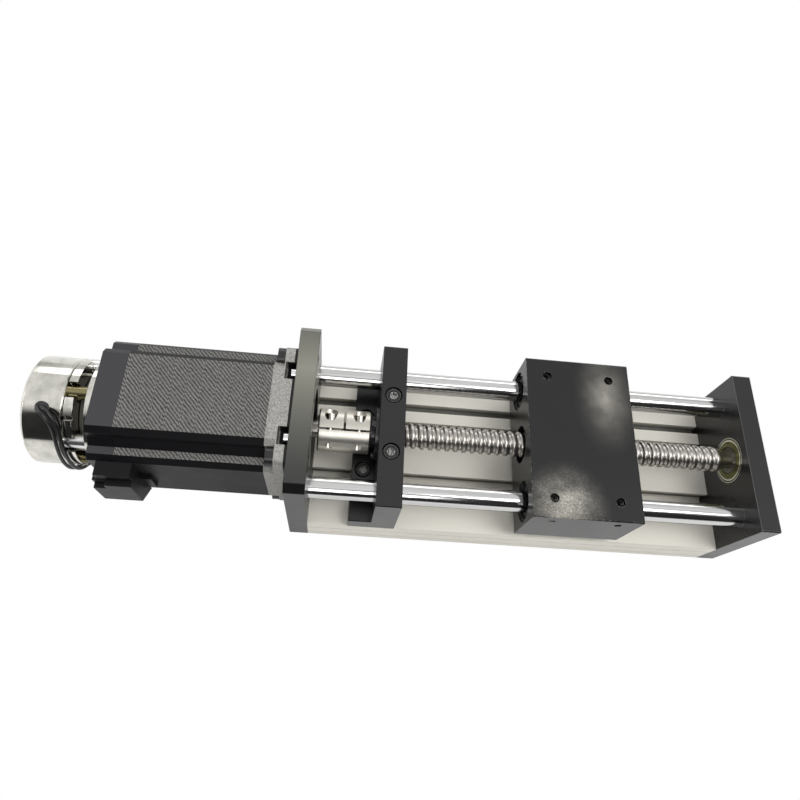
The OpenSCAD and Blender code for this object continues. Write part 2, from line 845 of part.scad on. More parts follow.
nut_turns = 3;
balls_per_turn = 14;

// Balls on the screw's groove, in step with its phase
module nut_balls() {
  mid = x_nut + nut_l / 2;
  first_turn = round((mid - thread_x0) / lead - nut_turns / 2);
  color([0.88, 0.88, 0.89])
    for (k = [0 : nut_turns * balls_per_turn - 1])
      translate([
        thread_x0 + lead * (first_turn + k / balls_per_turn - 0.5),
        ball_path_r * cos(360 * k / balls_per_turn),
        axis_h + ball_path_r * sin(360 * k / balls_per_turn)
      ])
        sphere(r = ball_r);
}

module nut_wipers() {
  color([0.13, 0.13, 0.13])
    for (x = [x_nut, x_nut + nut_l - 2.5])
      ring_x(screw_r + 0.3 + nut_step, screw_r + run_fit, x, x + 2.5);
}

/* ---------- motor ---------- */

// Quarter of the stack's outline, from its top flat to its side flat, around the axis
notch_in = half_motor - motor_notch;
notch_lip = 2.2;
notch_bevel = 3.1;
quarter = [
  [motor_flat / 2, half_motor],
  [notch_in, half_motor - notch_lip],
  [notch_in, notch_in + notch_bevel],
  [notch_in + notch_bevel, notch_in],
  [half_motor - notch_lip, notch_in],
  [half_motor, motor_flat / 2]
];

module motor_outline() {
  translate([0, axis_h])
    polygon(concat(
      quarter,
      [for (i = [5 : -1 : 0]) [quarter[i][0], -quarter[i][1]]],
      [for (p = quarter) [-p[0], -p[1]]],
      [for (i = [5 : -1 : 0]) [-quarter[i][0], quarter[i][1]]]
    ));
}

// Square with rounded corners, around the axis
module flange_outline() {
  r = 4.6;
  translate([0, axis_h]) {
    square([motor_w, motor_w - 2 * r], center = true);
    square([motor_w - 2 * r, motor_w], center = true);
    for (sy = [-1, 1], sz = [-1, 1])
      translate([sy * (half_motor - r), sz * (half_motor - r)]) circle(r = r);
  }
}

flange_screw_z = axis_h + half_motor - 3.2;
boss_l = 1.8;
bore_608 = 22;
bearing_608_w = 7;

module motor_flange() {
  hub_l = flange_l - flange_t;
  color([0.62, 0.61, 0.59])
    difference() {
      union() {
        along_x(x_motor - flange_t, x_motor) flange_outline();
        along_x(x_stack, x_motor - flange_t + eps) motor_outline();
        rod_x(pilot_d / 2, x_motor - 1, x_motor + boss_l);
      }
      rod_x(bore_608 / 2 + seat_fit, x_stack - 1, x_stack + bearing_608_w);
      rod_x(journal_r + 1, x_stack, x_motor + boss_l + 1);
      for (sy = [-1, 1], sz = [-1, 1])
        translate([x_stack - 1, sy * motor_bolt / 2, axis_h + sz * motor_bolt / 2]) {
          rotate([0, 90, 0]) cylinder(d = M5_LOW[0] + 2 * screw_clear, h = flange_l + 2);
          rotate([0, 90, 0]) cylinder(d = M5_LOW[1] + 2 * screw_clear, h = 1 + hub_l);
        }
      for (sy = [-1, 1]) {
        translate([x_motor - flange_t + 0.5, sy * pocket_y - 4.1, flange_screw_z - 3.2])
          cube([flange_t + 1, 8.2, 10]);
      }
    }
}

pole_n = 8;
stator_bore = 30.4;
yoke_in = 47;
pole_w = 5;

module stator_hole_outline() {
  translate([0, axis_h]) {
    circle(d = stator_bore);
    difference() {
      circle(d = yoke_in);
      for (i = [0 : pole_n - 1])
        rotate(i * 360 / pole_n)
          translate([0, -pole_w / 2]) square([yoke_in, pole_w]);
    }
  }
}

module motor_stack() {
  color([0.45, 0.44, 0.44])
    difference() {
      along_x(x_cap, x_stack) motor_outline();
      along_x(x_cap - 1, x_stack + 1) stator_hole_outline();
    }
}

module motor_windings() {
  in_r = stator_bore / 2 + 1;
  out_r = yoke_in / 2 - 0.9;
  wire = 1.7;
  color([0.72, 0.40, 0.20])
    for (i = [0 : pole_n - 1])
      translate([0, 0, axis_h])
        rotate([i * 360 / pole_n, 0, 0])
          difference() {
            translate([x_cap + 1, -pole_w / 2 - wire, in_r + 2])
              cube([stack_l - 2, pole_w + 2 * wire, out_r - in_r - 2]);
            translate([x_cap - 1, -pole_w / 2 - 0.1, in_r])
              cube([stack_l + 2, pole_w + 0.2, out_r]);
          }
}

module motor_rear_cap() {
  color([0.13, 0.13, 0.14])
    difference() {
      along_x(x_rear, x_cap) motor_outline();
      rod_x(bore_608 / 2 + seat_fit, x_cap - bearing_608_w, x_cap + 1);
      rod_x(journal_r + 1, x_rear - 1, x_cap);
      around_x(3, brake_bolt_r, 60)
        translate([x_rear - 1, 0, 0])
          rotate([0, 90, 0]) cylinder(d = M3[0] + 2 * run_fit, h = 7);
    }
}

module motor_rotor() {
  color([0.50, 0.50, 0.51]) {
    for (x = [x_cap + 4, x_cap + 4 + (stack_l - 8) / 2 + 1.5])
      ring_x(stator_bore / 2 - 0.3, journal_r + seat_fit, x, x + (stack_l - 8) / 2 - 1.5);
    ring_x(12, journal_r + seat_fit, x_cap + 4 + (stack_l - 8) / 2 - 1.5,
      x_cap + 4 + (stack_l - 8) / 2 + 1.5);
  }
}

module motor_shaft() {
  color([0.80, 0.80, 0.80])
    translate([x_armature + 1, 0, axis_h])
      rotate([0, 90, 0])
        rotate_extrude()
          polygon([
            [0, 0], [journal_r - 0.5, 0], [journal_r, 0.5],
            [journal_r, x_coupling_mid - x_armature - 2],
            [journal_r - 0.5, x_coupling_mid - x_armature - 1.5],
            [0, x_coupling_mid - x_armature - 1.5]
          ]);
}

motor_bearing_x = [x_stack, x_cap - bearing_608_w];

module motor_bearings() {
  color([0.75, 0.76, 0.77])
    for (x = motor_bearing_x) {
      bearing_outer(bore_608, journal_d, bearing_608_w, x);
      ring_of_balls(bore_608, journal_d, bearing_608_w, x, 7);
    }
}

module motor_bearing_inner_rings() {
  color([0.75, 0.76, 0.77])
    for (x = motor_bearing_x)
      bearing_inner(bore_608, journal_d, bearing_608_w, x);
}

module motor_mount_screws() {
  color([0.14, 0.14, 0.15])
    for (sy = [-1, 1], sz = [-1, 1])
      translate([x_motor - flange_t, sy * motor_bolt / 2, axis_h + sz * motor_bolt / 2])
        rotate([0, -90, 0]) cap_screw(M5_LOW, 12);
}

// Bright screws that stand in the two pockets of the flange's top edge
module flange_top_screws() {
  color([0.82, 0.82, 0.82])
    for (sy = [-1, 1])
      translate([x_motor, sy * pocket_y, flange_screw_z])
        rotate([0, -90, 0]) cap_screw([M3[0], 4.8, 2, 2], 5);
}

/* ---------- motor connector ---------- */

box_x = x_rear + 2;
box_l = 16.4;
box_out = 8.8;
box_top = axis_h + motor_flat / 2;
lid_inset = 1.8;
lid_out = 6.2;
lid_h = 5.5;
// How far below the lid the box ends, at the motor and at its front
box_h_motor = 35.5;
box_h_front = 26;
mouth_h = 11.5;
stub_l = 4.6;

module connector_box() {
  body_top = box_top - lid_h;
  color([0.09, 0.09, 0.10])
    difference() {
      union() {
        along_x(box_x, box_x + box_l)
          polygon([
            [-half_motor, box_top - box_h_motor],
            [-half_motor - box_out, box_top - box_h_front],
            [-half_motor - box_out, body_top],
            [-half_motor, body_top]
          ]);
        translate([box_x + lid_inset, -half_motor - lid_out, body_top - eps])
          cube([box_l - lid_inset, lid_out, lid_h + eps]);
        // stub that leads towards the front
        translate([box_x + box_l - eps, -half_motor - 1.8, body_top - 22])
          cube([stub_l, 1.8, 12]);
      }
      // mouth of the plug, open downwards
      translate([box_x + 1.8, -half_motor - box_out + 1.8, box_top - box_h_motor - 1])
        cube([box_l - 3.6, box_out - 3.4, mouth_h + box_h_motor - box_h_front + 4.5]);
      // latch recess
      translate([box_x - 1, -half_motor - box_out - 1, body_top - 4])
        cube([6.3, 3.2, 5]);
    }
}

module connector_pins() {
  mouth_top = box_top - box_h_front + mouth_h + 3.5;
  color([0.80, 0.70, 0.35])
    for (i = [0 : 4])
      translate([box_x + box_l / 2 - 5.32 + i * 2.5, -half_motor - 5, mouth_top - 11.5])
        cube([0.64, 0.64, 11.5]);
}

/* ---------- brake ---------- */

hub_w = 11;
magnet_bore = 14;
disc_out_r = 16.4;
disc_in_r = 4;
armature_bore = 16.6;
sleeve_d = 6.4;
adjuster_d = 5.6;
coil_in = 11.5;
coil_out = 18;
coil_depth = 11;
spring_d = 2.6;
spring_r = 9.6;
grommet_x = 9;
grommet_angle = 21;

module brake_magnet() {
  color([0.80, 0.79, 0.76])
    difference() {
      translate([x_magnet, 0, axis_h])
        rotate([0, 90, 0])
          rotate_extrude()
            polygon([
              [0, 0], [brake_r - 1.2, 0], [brake_r, 1.2], [brake_r, magnet_l - 0.5],
              [brake_r - 0.5, magnet_l], [magnet_bore / 2, magnet_l],
              [magnet_bore / 2, 5], [0, 5]
            ]);
      difference() {
        rod_x(coil_out + seat_fit, x_magnet + magnet_l - coil_depth, x_magnet + magnet_l + 1);
        rod_x(coil_in - seat_fit, x_magnet, x_magnet + magnet_l + 2);
      }
      around_x(6, spring_r, 30)
        translate([x_magnet + magnet_l - 9, 0, 0])
          rotate([0, 90, 0]) cylinder(d = spring_d + 0.4, h = 10);
      around_x(3, brake_bolt_r, 60)
        translate([x_magnet - 1, 0, 0])
          rotate([0, 90, 0]) cylinder(d = M3[0] + 2 * screw_clear, h = magnet_l + 2);
      around_x(3, brake_bolt_r, 60)
        translate([x_magnet - 1, 0, 0])
          rotate([0, 90, 0]) cylinder(d = M3[1] + 0.5, h = 5);
      around_x(3, brake_bolt_r, 0)
        translate([x_magnet + magnet_l - 6, 0, 0])
          rotate([0, 90, 0]) cylinder(d = 3.5 + 2 * run_fit, h = 7);
      translate([x_magnet + grommet_x, 0, axis_h])
        rotate([grommet_angle, 0, 0])
          translate([0, 0, coil_out - 1]) cylinder(d = 4.6 + 2 * seat_fit, h = 10);
    }
}

module brake_coil() {
  color([0.62, 0.34, 0.16])
    ring_x(coil_out, coil_in, x_magnet + magnet_l - coil_depth, x_magnet + magnet_l - 0.3);
}

module brake_springs() {
  color([0.70, 0.70, 0.71])
    around_x(6, spring_r, 30)
      translate([x_magnet + magnet_l - 9, 0, 0])
        rotate([0, 90, 0])
          difference() {
            cylinder(d = spring_d, h = 9);
            translate([0, 0, 1]) cylinder(d = spring_d - 1, h = 12);
          }
}

module brake_armature() {
  color([0.78, 0.77, 0.74])
    difference() {
      ring_x(brake_r, armature_bore / 2, x_armature, x_armature + armature_t);
      around_x(3, brake_r, 0)
        translate([x_armature - 1, -adjuster_d / 2 - 0.8, -7.1])
          cube([armature_t + 2, adjuster_d + 1.6, 9]);
      around_x(3, brake_r, 60)
        translate([x_armature - 1, -sleeve_d / 2 - 0.5, -7.1])
          cube([armature_t + 2, sleeve_d + 1, 9]);
      around_x(3, brake_r, 30)
        translate([x_armature - 1, -0.9, -1.2])
          cube([armature_t + 2, 1.8, 3]);
    }
}

module brake_disc() {
  color([0.13, 0.13, 0.12])
    difference() {
      ring_x(disc_out_r, disc_in_r, x_disc, x_disc + disc_t);
      translate([x_disc - 1, -hub_w / 2 - run_fit, axis_h - hub_w / 2 - run_fit])
        cube([disc_t + 2, hub_w + 2 * run_fit, hub_w + 2 * run_fit]);
    }
}

module brake_hub() {
  color([0.70, 0.69, 0.66])
    difference() {
      translate([x_disc - 2, -hub_w / 2, axis_h - hub_w / 2])
        cube([disc_t + 4, hub_w, hub_w]);
      rod_x(journal_r + seat_fit, x_disc - 3, x_disc + disc_t + 3);
    }
}

module brake_mount_plate() {
  color([0.80, 0.79, 0.76])
    difference() {
      ring_x(brake_r, 10.5, x_mount, x_rear);
      around_x(3, brake_bolt_r, 60)
        translate([x_mount - 1, 0, 0])
          rotate([0, 90, 0]) cylinder(d = M3[0] + 2 * screw_clear, h = mount_t + 2);
      around_x(3, brake_bolt_r, 0)
        translate([x_mount - 1, 0, 0])
          rotate([0, 90, 0]) cylinder(d = 3.5 + 2 * run_fit, h = mount_t + 2);
    }
}

x_gap_end = x_magnet + magnet_l;

module brake_sleeves() {
  color([0.80, 0.80, 0.79])
    around_x(3, brake_bolt_r, 60)
      translate([x_gap_end, 0, 0])
        rotate([0, 90, 0])
          difference() {
            cylinder(d = sleeve_d, h = x_mount - x_gap_end);
            translate([0, 0, -1]) cylinder(d = M3[0] + 2 * screw_clear, h = 20);
          }
}

module brake_adjusters() {
  color([0.72, 0.62, 0.36])
    around_x(3, brake_bolt_r, 0)
      translate([x_gap_end, 0, 0])
        rotate([0, 90, 0]) {
          cylinder(d = adjuster_d, h = x_mount - x_gap_end);
          translate([0, 0, -5]) cylinder(d = 3.5, h = 5 + eps);
          translate([0, 0, x_mount - x_gap_end - eps]) cylinder(d = 3.5, h = mount_t - 0.2);
        }
}

module brake_screws() {
  color([0.60, 0.60, 0.60])
    around_x(3, brake_bolt_r, 60)
      translate([x_magnet + 4, 0, 0])
        rotate([0, -90, 0]) cap_screw(M3, x_rear - x_magnet - 4 + 5);
}

module lead_grommet() {
  color([0.05, 0.05, 0.05])
    translate([x_magnet + grommet_x, 0, axis_h])
      rotate([grommet_angle, 0, 0])
        union() {
          translate([0, 0, brake_r - 3]) cylinder(d = 4.6, h = 3.2);
          translate([0, 0, brake_r]) cylinder(d = 5.4, h = 0.75);
        }
}

/* ---------- brake leads ---------- */

lead_d = 1.6;
lead_sides = 8;
coil_mid_r = 8.7;
coil_t = 3.3;
coil_z = 0.5;
coil_a = [-216, 14];
coil_b = [-194, 14];
tie_t = 0.4;

// Routes of the two leads, chosen by hand: over the rim, round the brake and down to the floor
lead_a_route = [
  [-213.65, -8.87, 65.61], [-213.65, -9.51, 67.29], [-212.3, -11.3, 68.6], [-210, -13.3, 68.4],
  [-208.2, -15.2, 66.6], [-207.2, -17, 63.8], [-206.7, -19.3, 60.2], [-206.5, -21.7, 56.6],
  [-206.5, -23.5, 52.7], [-206.5, -24.7, 48.7], [-206.5, -25.4, 44.5], [-206.5, -25.4, 40.3],
  [-206.5, -24.7, 36.1], [-206.5, -23.3, 32.1], [-206.5, -21.4, 28.6], [-206.5, -19.2, 25.5],
  [-206.5, -17.2, 21.9], [-206.5, -15.3, 18.2], [-206.5, -13.4, 14.5], [-206.5, -11.5, 10.7],
  [-206.5, -9.6, 7], [-206.5, -7.2, 3.7], [-206.5, -4.2, 1.5], [-206.5, -0.6, 0.9],
  [-206.5, 3.6, 1], [-206.5, 8.1, 1.3]
];
lead_b_route = [
  [-211.75, -8.87, 65.61], [-211.75, -9.51, 67.29], [-210.5, -10.5, 68.6], [-208.6, -11.9, 68.4],
  [-206.6, -14, 66.6], [-205.2, -16.3, 63.8], [-204.5, -19, 60.2], [-204.1, -21.6, 56.6],
  [-203.8, -23.5, 52.7], [-203.8, -24.7, 48.7], [-203.8, -25.4, 44.5], [-203.8, -25.4, 40.3],
  [-203.8, -24.7, 36.1], [-203.8, -23.3, 32.1], [-203.8, -21.4, 28.6], [-203.8, -19.2, 25.5],
  [-203.8, -17.2, 21.9], [-203.8, -15.3, 18.2], [-203.8, -13.4, 14.5], [-203.8, -11.5, 10.7],
  [-203.7, -9.6, 7], [-203.6, -7.2, 3.7], [-203.5, -4.2, 1.5], [-203.5, -0.6, 0.9],
  [-203.5, 3.6, 1], [-203.5, 8.1, 1.3]
];

function unit(v) = v / norm(v);

// Round tube along a route, one ring at each of its points
module swept_tube(route, r, sides) {
  last = len(route) - 1;
  points = [
    for (i = [0 : last])
      let (
        t = unit(route[min(i + 1, last)] - route[max(i - 1, 0)]),
        u = unit(cross(t, [1, 0, 0])),
        v = cross(t, u)
      )
      for (k = [0 : sides - 1])
        route[i] + r * cos(360 * k / sides) * u + r * sin(360 * k / sides) * v
  ];
  sleeve = [for (i = [0 : last - 1], k = [0 : sides - 1])
    [i * sides + k, i * sides + (k + 1) % sides,
      (i + 1) * sides + (k + 1) % sides, (i + 1) * sides + k]];
  polyhedron(
    points = points,
    faces = concat(
      [for (f = sleeve) [f[3], f[2], f[1], f[0]]],
      [[for (k = [0 : sides - 1]) k]],
      [[for (k = [sides - 1 : -1 : 0]) last * sides + k]]
    ),
    convexity = 6
  );
}

module brake_lead_a() { color([0.05, 0.05, 0.05]) swept_tube(lead_a_route, lead_d / 2, lead_sides); }
module brake_lead_b() { color([0.05, 0.05, 0.05]) swept_tube(lead_b_route, lead_d / 2, lead_sides); }

// Outer shape of one coil of lead
module lead_coil(at) {
  color([0.05, 0.05, 0.05])
    translate([at[0], at[1], coil_z])
      rotate_extrude()
        translate([coil_mid_r - coil_t / 2, 0]) square(coil_t);
}

module lead_coil_a() { lead_coil(coil_a); }
module lead_coil_b() { lead_coil(coil_b); }

module lead_ties() {
  inside = coil_t + 0.2;
  outside = inside + 2 * tie_t;
  color([0.08, 0.08, 0.08])
    for (at = [coil_a, coil_b])
      translate([at[0] - 1, at[1] + coil_mid_r - outside / 2, 0])
        difference() {
          cube([2, outside, outside]);
          translate([-1, tie_t, tie_t]) cube([4, inside, inside]);
        }
}

base_extrusion();
motor_plate();
end_plate();
bearing_block();
guide_shaft_rear();
guide_shaft_front();
plate_screws();
shaft_screws();
block_screws();
slot_nuts();
carriage();
linear_bearings();
linear_bearing_cages();
linear_bearing_seals();
carriage_circlips();
ball_nut();
nut_balls();
nut_wipers();
ball_screw();
coupling();
coupling_screws();
fixed_bearing_outer_rings();
bearing_inner_rings();
bearing_balls();
bearing_retainer();
retainer_screws();
lock_nut();
bearing_spacer();
end_bearing_outer_ring();
end_bearing_shields();
end_circlip();
motor_flange();
motor_stack();
motor_rear_cap();
motor_windings();
motor_rotor();
motor_shaft();
motor_bearings();
motor_bearing_inner_rings();
motor_mount_screws();
flange_top_screws();
connector_box();
connector_pins();
brake_magnet();
brake_coil();
brake_springs();
brake_armature();
brake_disc();
brake_hub();
brake_mount_plate();
brake_sleeves();
brake_adjusters();
brake_screws();
lead_grommet();
brake_lead_a();
brake_lead_b();
lead_coil_a();
lead_coil_b();
lead_ties();
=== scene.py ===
# %% [markdown]
# # A ball screw linear module, dressed for the camera
#
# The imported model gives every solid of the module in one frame: +X runs along the screw from the
# motor to the end plate, +Z is up and the origin is under the middle of the base.
# This script keeps those solids and gives each one a finish. A few are swapped for finer pieces:
# the screw with its smooth helix, the two brake leads, the screws that the camera looks down on
# and the end bearing's shields. The bare threads in the carriage's holes are added.
#
# Everything is in metres, so sizes in millimetres are written as a number times `MM`.

import json
import math

import bmesh
import bpy
from mathutils import Matrix, Vector


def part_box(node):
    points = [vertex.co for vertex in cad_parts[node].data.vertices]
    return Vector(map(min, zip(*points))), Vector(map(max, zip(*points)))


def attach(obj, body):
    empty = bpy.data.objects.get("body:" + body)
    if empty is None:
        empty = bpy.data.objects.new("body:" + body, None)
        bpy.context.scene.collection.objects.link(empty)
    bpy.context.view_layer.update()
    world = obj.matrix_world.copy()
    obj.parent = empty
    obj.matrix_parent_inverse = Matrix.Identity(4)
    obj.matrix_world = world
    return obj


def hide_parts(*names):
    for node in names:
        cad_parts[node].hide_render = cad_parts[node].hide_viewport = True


MM = 0.001
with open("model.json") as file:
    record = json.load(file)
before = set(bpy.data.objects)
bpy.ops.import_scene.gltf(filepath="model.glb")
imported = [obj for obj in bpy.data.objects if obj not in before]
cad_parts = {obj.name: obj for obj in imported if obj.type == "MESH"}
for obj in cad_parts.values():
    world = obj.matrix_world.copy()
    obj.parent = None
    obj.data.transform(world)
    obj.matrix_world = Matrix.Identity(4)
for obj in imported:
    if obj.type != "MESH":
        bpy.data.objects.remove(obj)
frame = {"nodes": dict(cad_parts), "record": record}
nodes = frame["nodes"]
slot_of = {part["node"]: part["material_slot"] for part in frame["record"]["subparts"]}
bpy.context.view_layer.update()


# %% [markdown]
# ## Driving dimensions
#
# The few sizes that the pieces below share with the solids. They could all be typed, but the
# places along X are taken from the solids' own boxes, so that a piece stays with what carries it.

# %% Dimensions
AXIS_Z = 42.5 * MM
LEAD = 4 * MM
SCREW_R = 6 * MM
BALL_PATH_R = 6.2 * MM
GROOVE_R = 1.2 * MM
JOURNAL_R = 4 * MM
LEAD_WIRE = 1.6 * MM
# How far the thread stops short of the block and of the end plate
GAP_AT_BLOCK, GAP_AT_END = 0.5 * MM, 2.4 * MM
# The block's screws, in millimetres: (x, height of the seat), on both sides of the axis
BLOCK_SCREWS = ((-65.8, 53), (-76.75, 25.6))
BLOCK_SCREW_Y = 13.7

plate_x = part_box("motor_plate")[1].x
end_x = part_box("end_plate")[0].x
screw_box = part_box("ball_screw")
thread_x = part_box("bearing_block")[1].x + GAP_AT_BLOCK
thread_end_x = end_x - GAP_AT_END
print("clear length between the plates:", round((end_x - plate_x) / MM, 1), "mm")

# %% [markdown]
# ## Camera
#
# The photograph looks down on the module from the front, a little left of its middle, through a
# short lens, and is tilted by about two and a half degrees. A tracking constraint could aim the
# camera, but a matrix built from three directions gives the tilt as well, in one step.

# %% Camera
CAMERA_AT = Vector((-86.82, -114.82, 328.28)) * MM
CAMERA_TO = Vector((-61.55, 18.36, 42.5)) * MM
CAMERA_ROLL = math.radians(2.453)
# Blender takes these two in millimetres
SENSOR_WIDTH = 36
LENS = 29.5245

camera_data = bpy.data.cameras.new("camera")
camera_data.sensor_width = SENSOR_WIDTH
camera_data.lens = LENS
camera_data.clip_start = 0.01
camera = bpy.data.objects.new("camera", camera_data)
bpy.context.scene.collection.objects.link(camera)
bpy.context.scene.camera = camera
forward = (CAMERA_TO - CAMERA_AT).normalized()
upright = (Vector((0, 1, 0)) - forward * forward.y).normalized()
up = Matrix.Rotation(-CAMERA_ROLL, 3, forward) @ upright
right = forward.cross(up)
aim = Matrix((right, up, -forward)).transposed().to_4x4()
camera.matrix_world = Matrix.Translation(CAMERA_AT) @ aim
print("camera looks along", [round(v, 3) for v in forward])

# %% [markdown]
# ## Finishes
#
# A finish is a node tree, which could be wired up one link at a time. Here `Value` wraps an output
# socket, so that sums and products of sockets read as maths, and `Finish.add` makes any other
# node. This is shorter, and the formula of each finish stays in sight.

# %% Shader maths
def feed(socket, item):
    """Gives an input socket a plain value or a link."""
    if isinstance(item, Value):
        socket.id_data.links.new(item.socket, socket)
    else:
        socket.default_value = item


class Value:
    """An output socket that can be added, multiplied and compared."""

    def __init__(self, socket):
        self.socket = socket

    def maths(self, operation, *others, swapped=False):
        node = self.socket.id_data.nodes.new("ShaderNodeMath")
        node.operation = operation
        terms = [*others, self] if swapped else [self, *others]
        for slot, term in zip(node.inputs, terms):
            feed(slot, term)
        return Value(node.outputs[0])

    def __add__(self, other):
        return self.maths("ADD", other)

    def __radd__(self, other):
        return self.maths("ADD", other, swapped=True)

    def __sub__(self, other):
        return self.maths("SUBTRACT", other)

    def __rsub__(self, other):
        return self.maths("SUBTRACT", other, swapped=True)

    def __mul__(self, other):
        return self.maths("MULTIPLY", other)

    def __truediv__(self, other):
        return self.maths("DIVIDE", other)

    def __pow__(self, other):
        return self.maths("POWER", other)

    def __gt__(self, other):
        return self.maths("GREATER_THAN", other)

    def __lt__(self, other):
        return self.maths("LESS_THAN", other)

    def __abs__(self):
        return self.maths("ABSOLUTE")

    def within(self, low, high):
        """1 between two values, 0 elsewhere."""
        return (self > low) * (self < high)

    def wave(self, period):
        """A sine from 0 to 1 that comes back after each period."""
        return (self * (2 * math.pi / period)).maths("SINE") * 0.5 + 0.5

    def clamped(self):
        limited = self.maths("MULTIPLY", 1.0)
        limited.socket.node.use_clamp = True
        return limited

    def rising(self, start, gain):
        """0 up to the start, then a climb with this gain, to 1."""
        return ((self - start) * gain).clamped()


def distance(across, along):
    return (across * across + along * along).maths("SQRT")


def add_node(tree, kind, out=0, settings=None, **inputs):
    """Makes a node with these settings and inputs, and gives one of its outputs."""
    node = tree.nodes.new(kind)
    for name, item in (settings or {}).items():
        setattr(node, name, item)
    for name, item in inputs.items():
        feed(node.inputs[name.replace("_", " ")], item)
    return Value(node.outputs[out])


def mix_shaders(tree, factor, first, second):
    """The first shader where the factor is 0, the second where it is 1."""
    mixed = add_node(tree, "ShaderNodeMixShader", Fac=factor)
    for slot, shader in zip(mixed.socket.node.inputs[1:], (first, second)):
        feed(slot, shader)
    return mixed


print("Principled inputs can now be fed with maths on sockets")

# %% [markdown]
# The class `Finish` holds one material. Its noise, heights and distances use Object coordinates,
# which are metres on the part, so a grain of half a millimetre is half a millimetre everywhere.
# Broken edges could be modelled on every solid. The Bevel node lets the light catch them instead,
# and tells where the edges are, so that dye can be worn off them.

# %% One material
FINISHES = {}
BEVEL_SAMPLES = 4
EDGE_GAIN = 7
# The Mix node has sockets for each kind of value, of which these carry colours
COLOUR_LOW, COLOUR_HIGH, COLOUR_OUT = 6, 7, 2


class Finish:
    """One material: a Principled shader and the nodes that feed it."""

    def __init__(self, name, metallic=1.0):
        self.material = bpy.data.materials.new(name)
        self.material.use_nodes = True
        self.tree = self.material.node_tree
        self.shader = self.tree.nodes["Principled BSDF"]
        self.set("Metallic", metallic)
        self.where = self.add("ShaderNodeTexCoord", out="Object")
        self.normal = None
        self.edge = None
        FINISHES[name] = self

    def set(self, name, item):
        feed(self.shader.inputs[name], item)

    def add(self, kind, out=0, settings=None, **inputs):
        return add_node(self.tree, kind, out, settings, **inputs)

    def noise(self, size, detail=2.0, stretch=None):
        """Noise with blotches about `size` metres wide, longer along an axis of small stretch."""
        where = self.where
        if stretch:
            where = self.add("ShaderNodeMapping", Vector=where, Scale=stretch)
        return self.add("ShaderNodeTexNoise", Vector=where, Scale=1 / size, Detail=detail)

    def axis(self, name):
        """The place along X, Y or Z."""
        return self.add("ShaderNodeSeparateXYZ", out=name, Vector=self.where)

    def facing(self, name):
        """How far the surface faces along X, Y or Z, from -1 to 1."""
        return self.add("ShaderNodeSeparateXYZ", out=name,
                        Vector=self.add("ShaderNodeTexCoord", out="Normal"))

    def blend(self, factor, low, high):
        """A colour between two colours."""
        node = self.tree.nodes.new("ShaderNodeMix")
        node.data_type = "RGBA"
        feed(node.inputs[0], factor)
        feed(node.inputs[COLOUR_LOW], low if isinstance(low, Value) else (*low, 1))
        feed(node.inputs[COLOUR_HIGH], high if isinstance(high, Value) else (*high, 1))
        return Value(node.outputs[COLOUR_OUT])

    def bump(self, height, depth, strength=0.5):
        """Adds a relief of `depth` metres on top of what is there."""
        inputs = {"Height": height, "Distance": depth, "Strength": strength}
        if self.normal is not None:
            inputs["Normal"] = self.normal
        self.normal = self.add("ShaderNodeBump", **inputs)
        self.set("Normal", self.normal)

    def round_edges(self, radius):
        """Lets the light catch the edges as if they were broken by `radius`."""
        self.normal = self.add("ShaderNodeBevel", settings={"samples": BEVEL_SAMPLES},
                               Radius=radius)
        self.set("Normal", self.normal)
        flat = self.add("ShaderNodeNewGeometry", out="Normal")
        along = self.add("ShaderNodeVectorMath", out="Value",
                         settings={"operation": "DOT_PRODUCT"})
        for slot, vector in zip(along.socket.node.inputs, (self.normal, flat)):
            feed(slot, vector)
        self.edge = ((1 - along) * EDGE_GAIN).clamped()


def tint(colour, factor):
    return tuple(min(1.0, c * factor) for c in colour)


print("edges are found with", BEVEL_SAMPLES, "samples")

# %% [markdown]
# Machined metal is never one flat colour. Pictures of real surfaces could be used, but noise needs
# no picture and has no seams. Most finishes share one recipe: a slow change of colour over
# centimetres, a fine grain in the roughness, a shallow relief, and bare metal on worn edges.

# %% The common recipe
CLOUD_SIZE = 18 * MM
GRAIN_SIZE = 0.8


def worked_metal(name, colour, roughness, metallic=1.0, vary=0.08, grain=0.05, relief=0.004,
                 edge=0.0, brushed=None, size=GRAIN_SIZE, worn=None):
    """A surface with grain. `brushed` stretches the grain, `edge` rounds the edges and `size` is
    the grain's, in millimetres; `worn` is the colour that shows on the edges. A finish with no
    colour gets it from its caller."""
    finish = Finish(name, metallic)
    if edge:
        finish.round_edges(edge * MM)
    cloud = finish.noise(CLOUD_SIZE, 3)
    fine = finish.noise(size * MM, 2, brushed)
    if colour:
        tone = finish.blend(cloud, tint(colour, 1 - vary), tint(colour, 1 + vary))
        if worn:
            tone = finish.blend(finish.edge * (0.35 + fine * 0.9), tone, worn)
        finish.set("Base Color", tone)
    finish.set("Roughness", roughness + (fine - 0.5) * grain + (cloud - 0.5) * grain)
    finish.bump(fine, relief * MM)
    return finish


def spot(finish, x, y, reach_x, reach_y):
    """1 at a place seen from above, falling to 0 at the reach; all in millimetres."""
    off_x = (finish.axis("X") - x * MM) / (reach_x * MM)
    off_y = (finish.axis("Y") - y * MM) / (reach_y * MM)
    return (1 - distance(off_x, off_y)).clamped()


print("the common grain is", GRAIN_SIZE, "mm wide")
